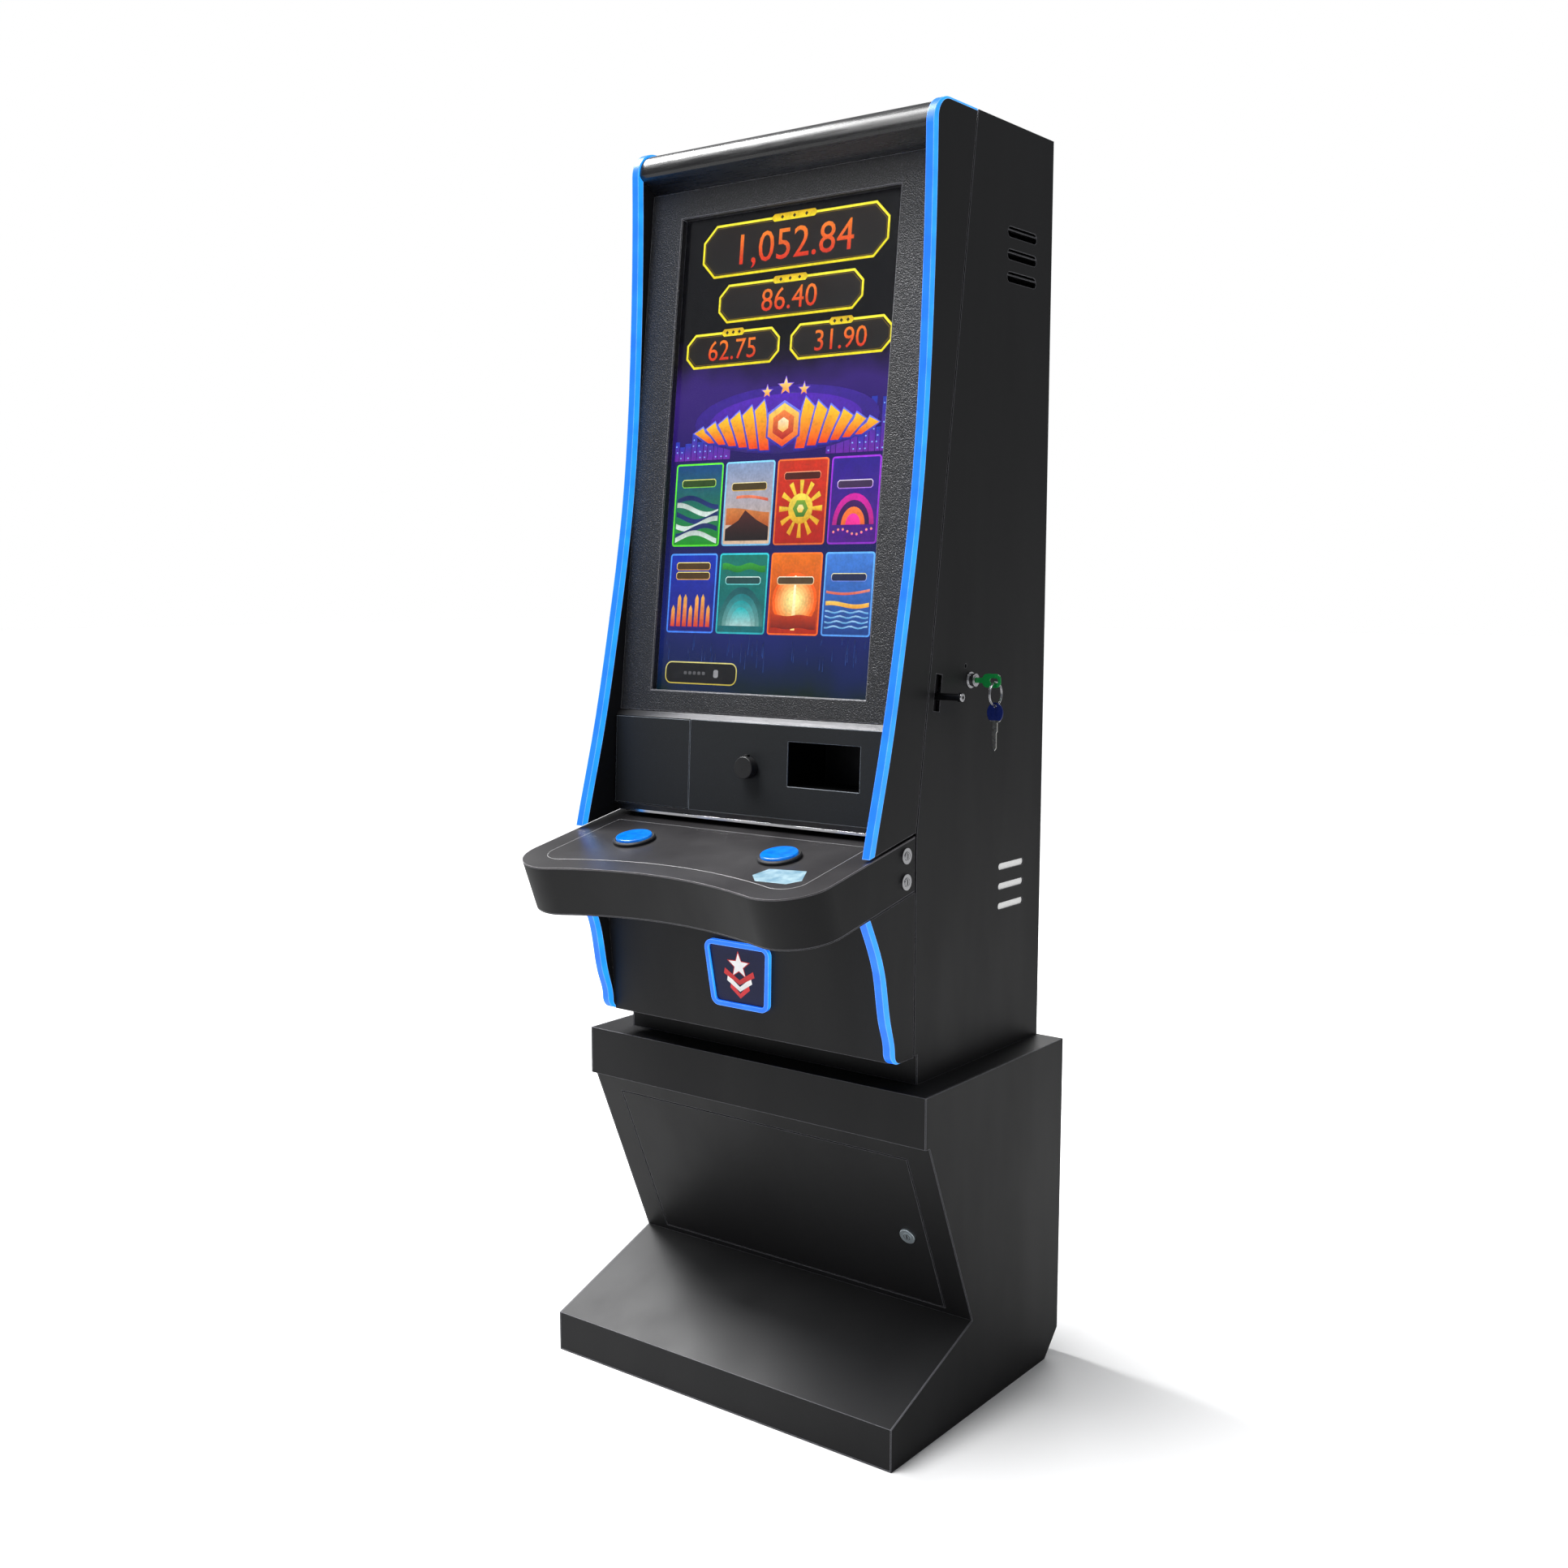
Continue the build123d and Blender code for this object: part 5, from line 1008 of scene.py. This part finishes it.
def deck_sticker():
    """A six-sided sticker on the film, near the deck's right front."""
    u, v = STICKER_RIGHT, STICKER_FROM_FRONT - DECK.height / 2
    outline = [(u + x * MM, v + y * MM) for x, y in STICKER_POINTS]
    sheet = slab(DECK, [outline], OVERLAY_THICK, 0.5 * MM)
    add_piece("deck_sticker", sheet, sticker_finish(), "cabinet", bevel=0.1 * MM)


deck_overlay()
deck_sticker()

# ---------------------------------------------------------------- small fittings
# Near-black for thin plates laid where keyways, sockets, grooves and screw recesses are hollow: painted
# shade.
RECESS_SHADE = moulded("painted_recess_shade", (0.004, 0.004, 0.004), roughness=0.7)
SCREW_FROM_EDGE = 5 * MM


def knob_dimple():
    """Painted shade for the small pit in the knob's face: a dark disc on it."""
    pit = slab(Face("knob", (0, -1, 0)), [disc((-2 * MM, -2 * MM), 1.0 * MM, 12)], 0, 0.1 * MM)
    add_piece("knob_dimple", pit, moulded("painted_dimple_shade", (0.003, 0.003, 0.003)), "knob")


def lever_screw():
    """The socket screw on the end of the release lever, with painted shade for its socket."""
    end = Face("release_lever", (1, 0, 0), outermost=True)
    head = slab(end, [disc((0, 0), 6.2 * MM)], 0, 3 * MM)
    socket = slab(end, [disc((0, 0), 2.6 * MM, 6)], 3 * MM, 3.1 * MM)
    add_piece("lever_screw_head", head, FINISHES["chrome"], "release_lever", bevel=1.2 * MM)
    add_piece("lever_screw_socket", socket, RECESS_SHADE, "release_lever")


def key_mouth(plug, body, towards):
    """Painted shade for the keyway of a lock's plug and for the groove round it."""
    mouth = Face(plug, towards, outermost=True)
    keyway = rounded((0, 0), 1.8 * MM, 7.6 * MM, 0.85 * MM)
    groove = disc((0, 0), mouth.width * 0.42, 32)
    add_piece(body + "_keyway", slab(mouth, [keyway], 0, 0.15 * MM), RECESS_SHADE, body)
    add_piece(body + "_groove", collar(mouth, [groove], 0.5 * MM, 0, 0.12 * MM), RECESS_SHADE, body)


def cross(centre, reach, half):
    """The outline of a cross recess."""
    u, v = centre
    steps = [(half, half), (reach, half), (reach, -half), (half, -half), (half, -reach), (-half, -reach),
             (-half, -half), (-reach, -half), (-reach, half), (-half, half), (-half, reach), (half, reach)]
    return [(u + x, v + y) for x, y in steps][::-1]


def screw_recesses():
    """Painted shade for the cross recesses in the back's four corner screws."""
    heads = Face("cabinet_screws", (0, 1, 0))
    u, v = heads.width / 2 - SCREW_FROM_EDGE, heads.height / 2 - SCREW_FROM_EDGE
    places = [(-u, -v), (-u, v), (u, -v), (u, v)]
    recesses = [cross(place, 3 * MM, 0.6 * MM) for place in places]
    add_piece("screw_recesses", slab(heads, recesses, 0.02 * MM, 0.12 * MM), RECESS_SHADE, "cabinet")


knob_dimple()
lever_screw()
key_mouth("key_switch_plug_upper", "key_switch_upper", (1, 0, 0))
key_mouth("key_switch_plug_lower", "key_switch_lower", (1, 0, 0))
key_mouth("stand_lock_plug", "stand_lock_plug", (0, -1, 0))
screw_recesses()

# ---------------------------------------------------------------- floor, light and camera
FLOOR_REACH = 40
CAMERA_PLACE = (1.5488, -2.116, 1.2294)
CAMERA_YAW, CAMERA_PITCH, CAMERA_ROLL = radians(37.1), radians(6.74), radians(-0.09)
CAMERA_LENS = 39.06


def stage_floor():
    """A wide pale floor with the faintest mottle, which throws less light back at black paint."""
    corners = [(x * FLOOR_REACH, y * FLOOR_REACH, 0) for x, y in ((-1, -1), (1, -1), (1, 1), (-1, 1))]
    mesh = bpy.data.meshes.new("floor")
    mesh.from_pydata(corners, [], [(0, 1, 2, 3)])
    floor = bpy.data.objects.new("floor", mesh)
    bpy.context.scene.collection.objects.link(floor)
    finish = Finish("floor_pale", Roughness=0.7)
    clouds = finish.noise(2, detail=4)
    pale = finish.blend(clouds, (0.93, 0.93, 0.935), (0.96, 0.96, 0.96))
    seen = finish.node("LightPath").outputs["Is Camera Ray"]
    finish.set(Base_Color=finish.blend(seen, (0.35, 0.35, 0.35), pale))
    finish.bump(finish.noise(300), 0.05 * MM)
    mesh.materials.append(finish.material)


def studio_sky():
    """White to look at, and dimmer as a source of light, so that black paint stays black."""
    world = bpy.data.worlds.new("studio")
    bpy.context.scene.world = world
    world.use_nodes = True
    tree = world.node_tree
    backdrop = next(n for n in tree.nodes if n.type == "BACKGROUND")
    ambient = tree.nodes.new("ShaderNodeBackground")
    backdrop.inputs["Color"].default_value = (1, 1, 1, 1)
    backdrop.inputs["Strength"].default_value = 1.0
    ambient.inputs["Color"].default_value = (0.95, 0.97, 1, 1)
    ambient.inputs["Strength"].default_value = 0.2
    seen = tree.nodes.new("ShaderNodeLightPath").outputs["Is Camera Ray"]
    chosen = tree.nodes.new("ShaderNodeMixShader")
    tree.links.new(seen, chosen.inputs["Fac"])
    tree.links.new(ambient.outputs["Background"], chosen.inputs[1])
    tree.links.new(backdrop.outputs["Background"], chosen.inputs[2])
    output = next(n for n in tree.nodes if n.type == "OUTPUT_WORLD")
    tree.links.new(chosen.outputs["Shader"], output.inputs["Surface"])


def soft_light(name, place, target, size, power):
    """A square soft box at a place, aimed at a target."""
    lamp = bpy.data.lights.new(name, "AREA")
    lamp.energy, lamp.size = power, size
    holder = bpy.data.objects.new(name, lamp)
    bpy.context.scene.collection.objects.link(holder)
    holder.visible_camera = False
    holder.location = place
    holder.rotation_mode = "QUATERNION"
    holder.rotation_quaternion = (Vector(target) - Vector(place)).to_track_quat("-Z", "Y")


def soft_sun(towards, strength, spread):
    """Even light from a wide patch of sky, which keeps the floor pale out to the horizon."""
    lamp = bpy.data.lights.new("key_light", "SUN")
    lamp.energy, lamp.angle = strength, radians(spread)
    holder = bpy.data.objects.new("key_light", lamp)
    bpy.context.scene.collection.objects.link(holder)
    holder.rotation_mode = "QUATERNION"
    holder.rotation_quaternion = (-Vector(towards)).to_track_quat("-Z", "Y")


def photo_camera():
    """The photograph's viewpoint: to the front right, at chest height, looking slightly down."""
    camera_data = bpy.data.cameras.new("camera")
    camera = bpy.data.objects.new("camera", camera_data)
    bpy.context.scene.collection.objects.link(camera)
    camera_data.sensor_width = 36
    camera_data.lens = CAMERA_LENS
    camera.rotation_euler = (QUARTER_TURN - CAMERA_PITCH, CAMERA_ROLL, CAMERA_YAW)
    camera.location = CAMERA_PLACE
    camera_data.clip_start, camera_data.clip_end = 0.05, 200
    bpy.context.scene.camera = camera


stage_floor()
studio_sky()
soft_sun((-0.45, -0.4, 1.6), strength=3.6, spread=35)
soft_light("ceiling_light", (-3.2, 0.0, 4.9), (0, -0.2, 0.8), size=1.5, power=360)
soft_light("top_light", (-0.5, -1.6, 3.6), (0, -0.1, 1.2), size=1.4, power=30)
soft_light("side_light", (3.2, 1.2, 2.6), (0, 0, 1), size=1.4, power=6)
soft_light("back_light", (-0.8, 3.2, 2.6), (0, 0, 1), size=1.8, power=40)
photo_camera()
bpy.context.scene.view_settings.view_transform = "Standard"
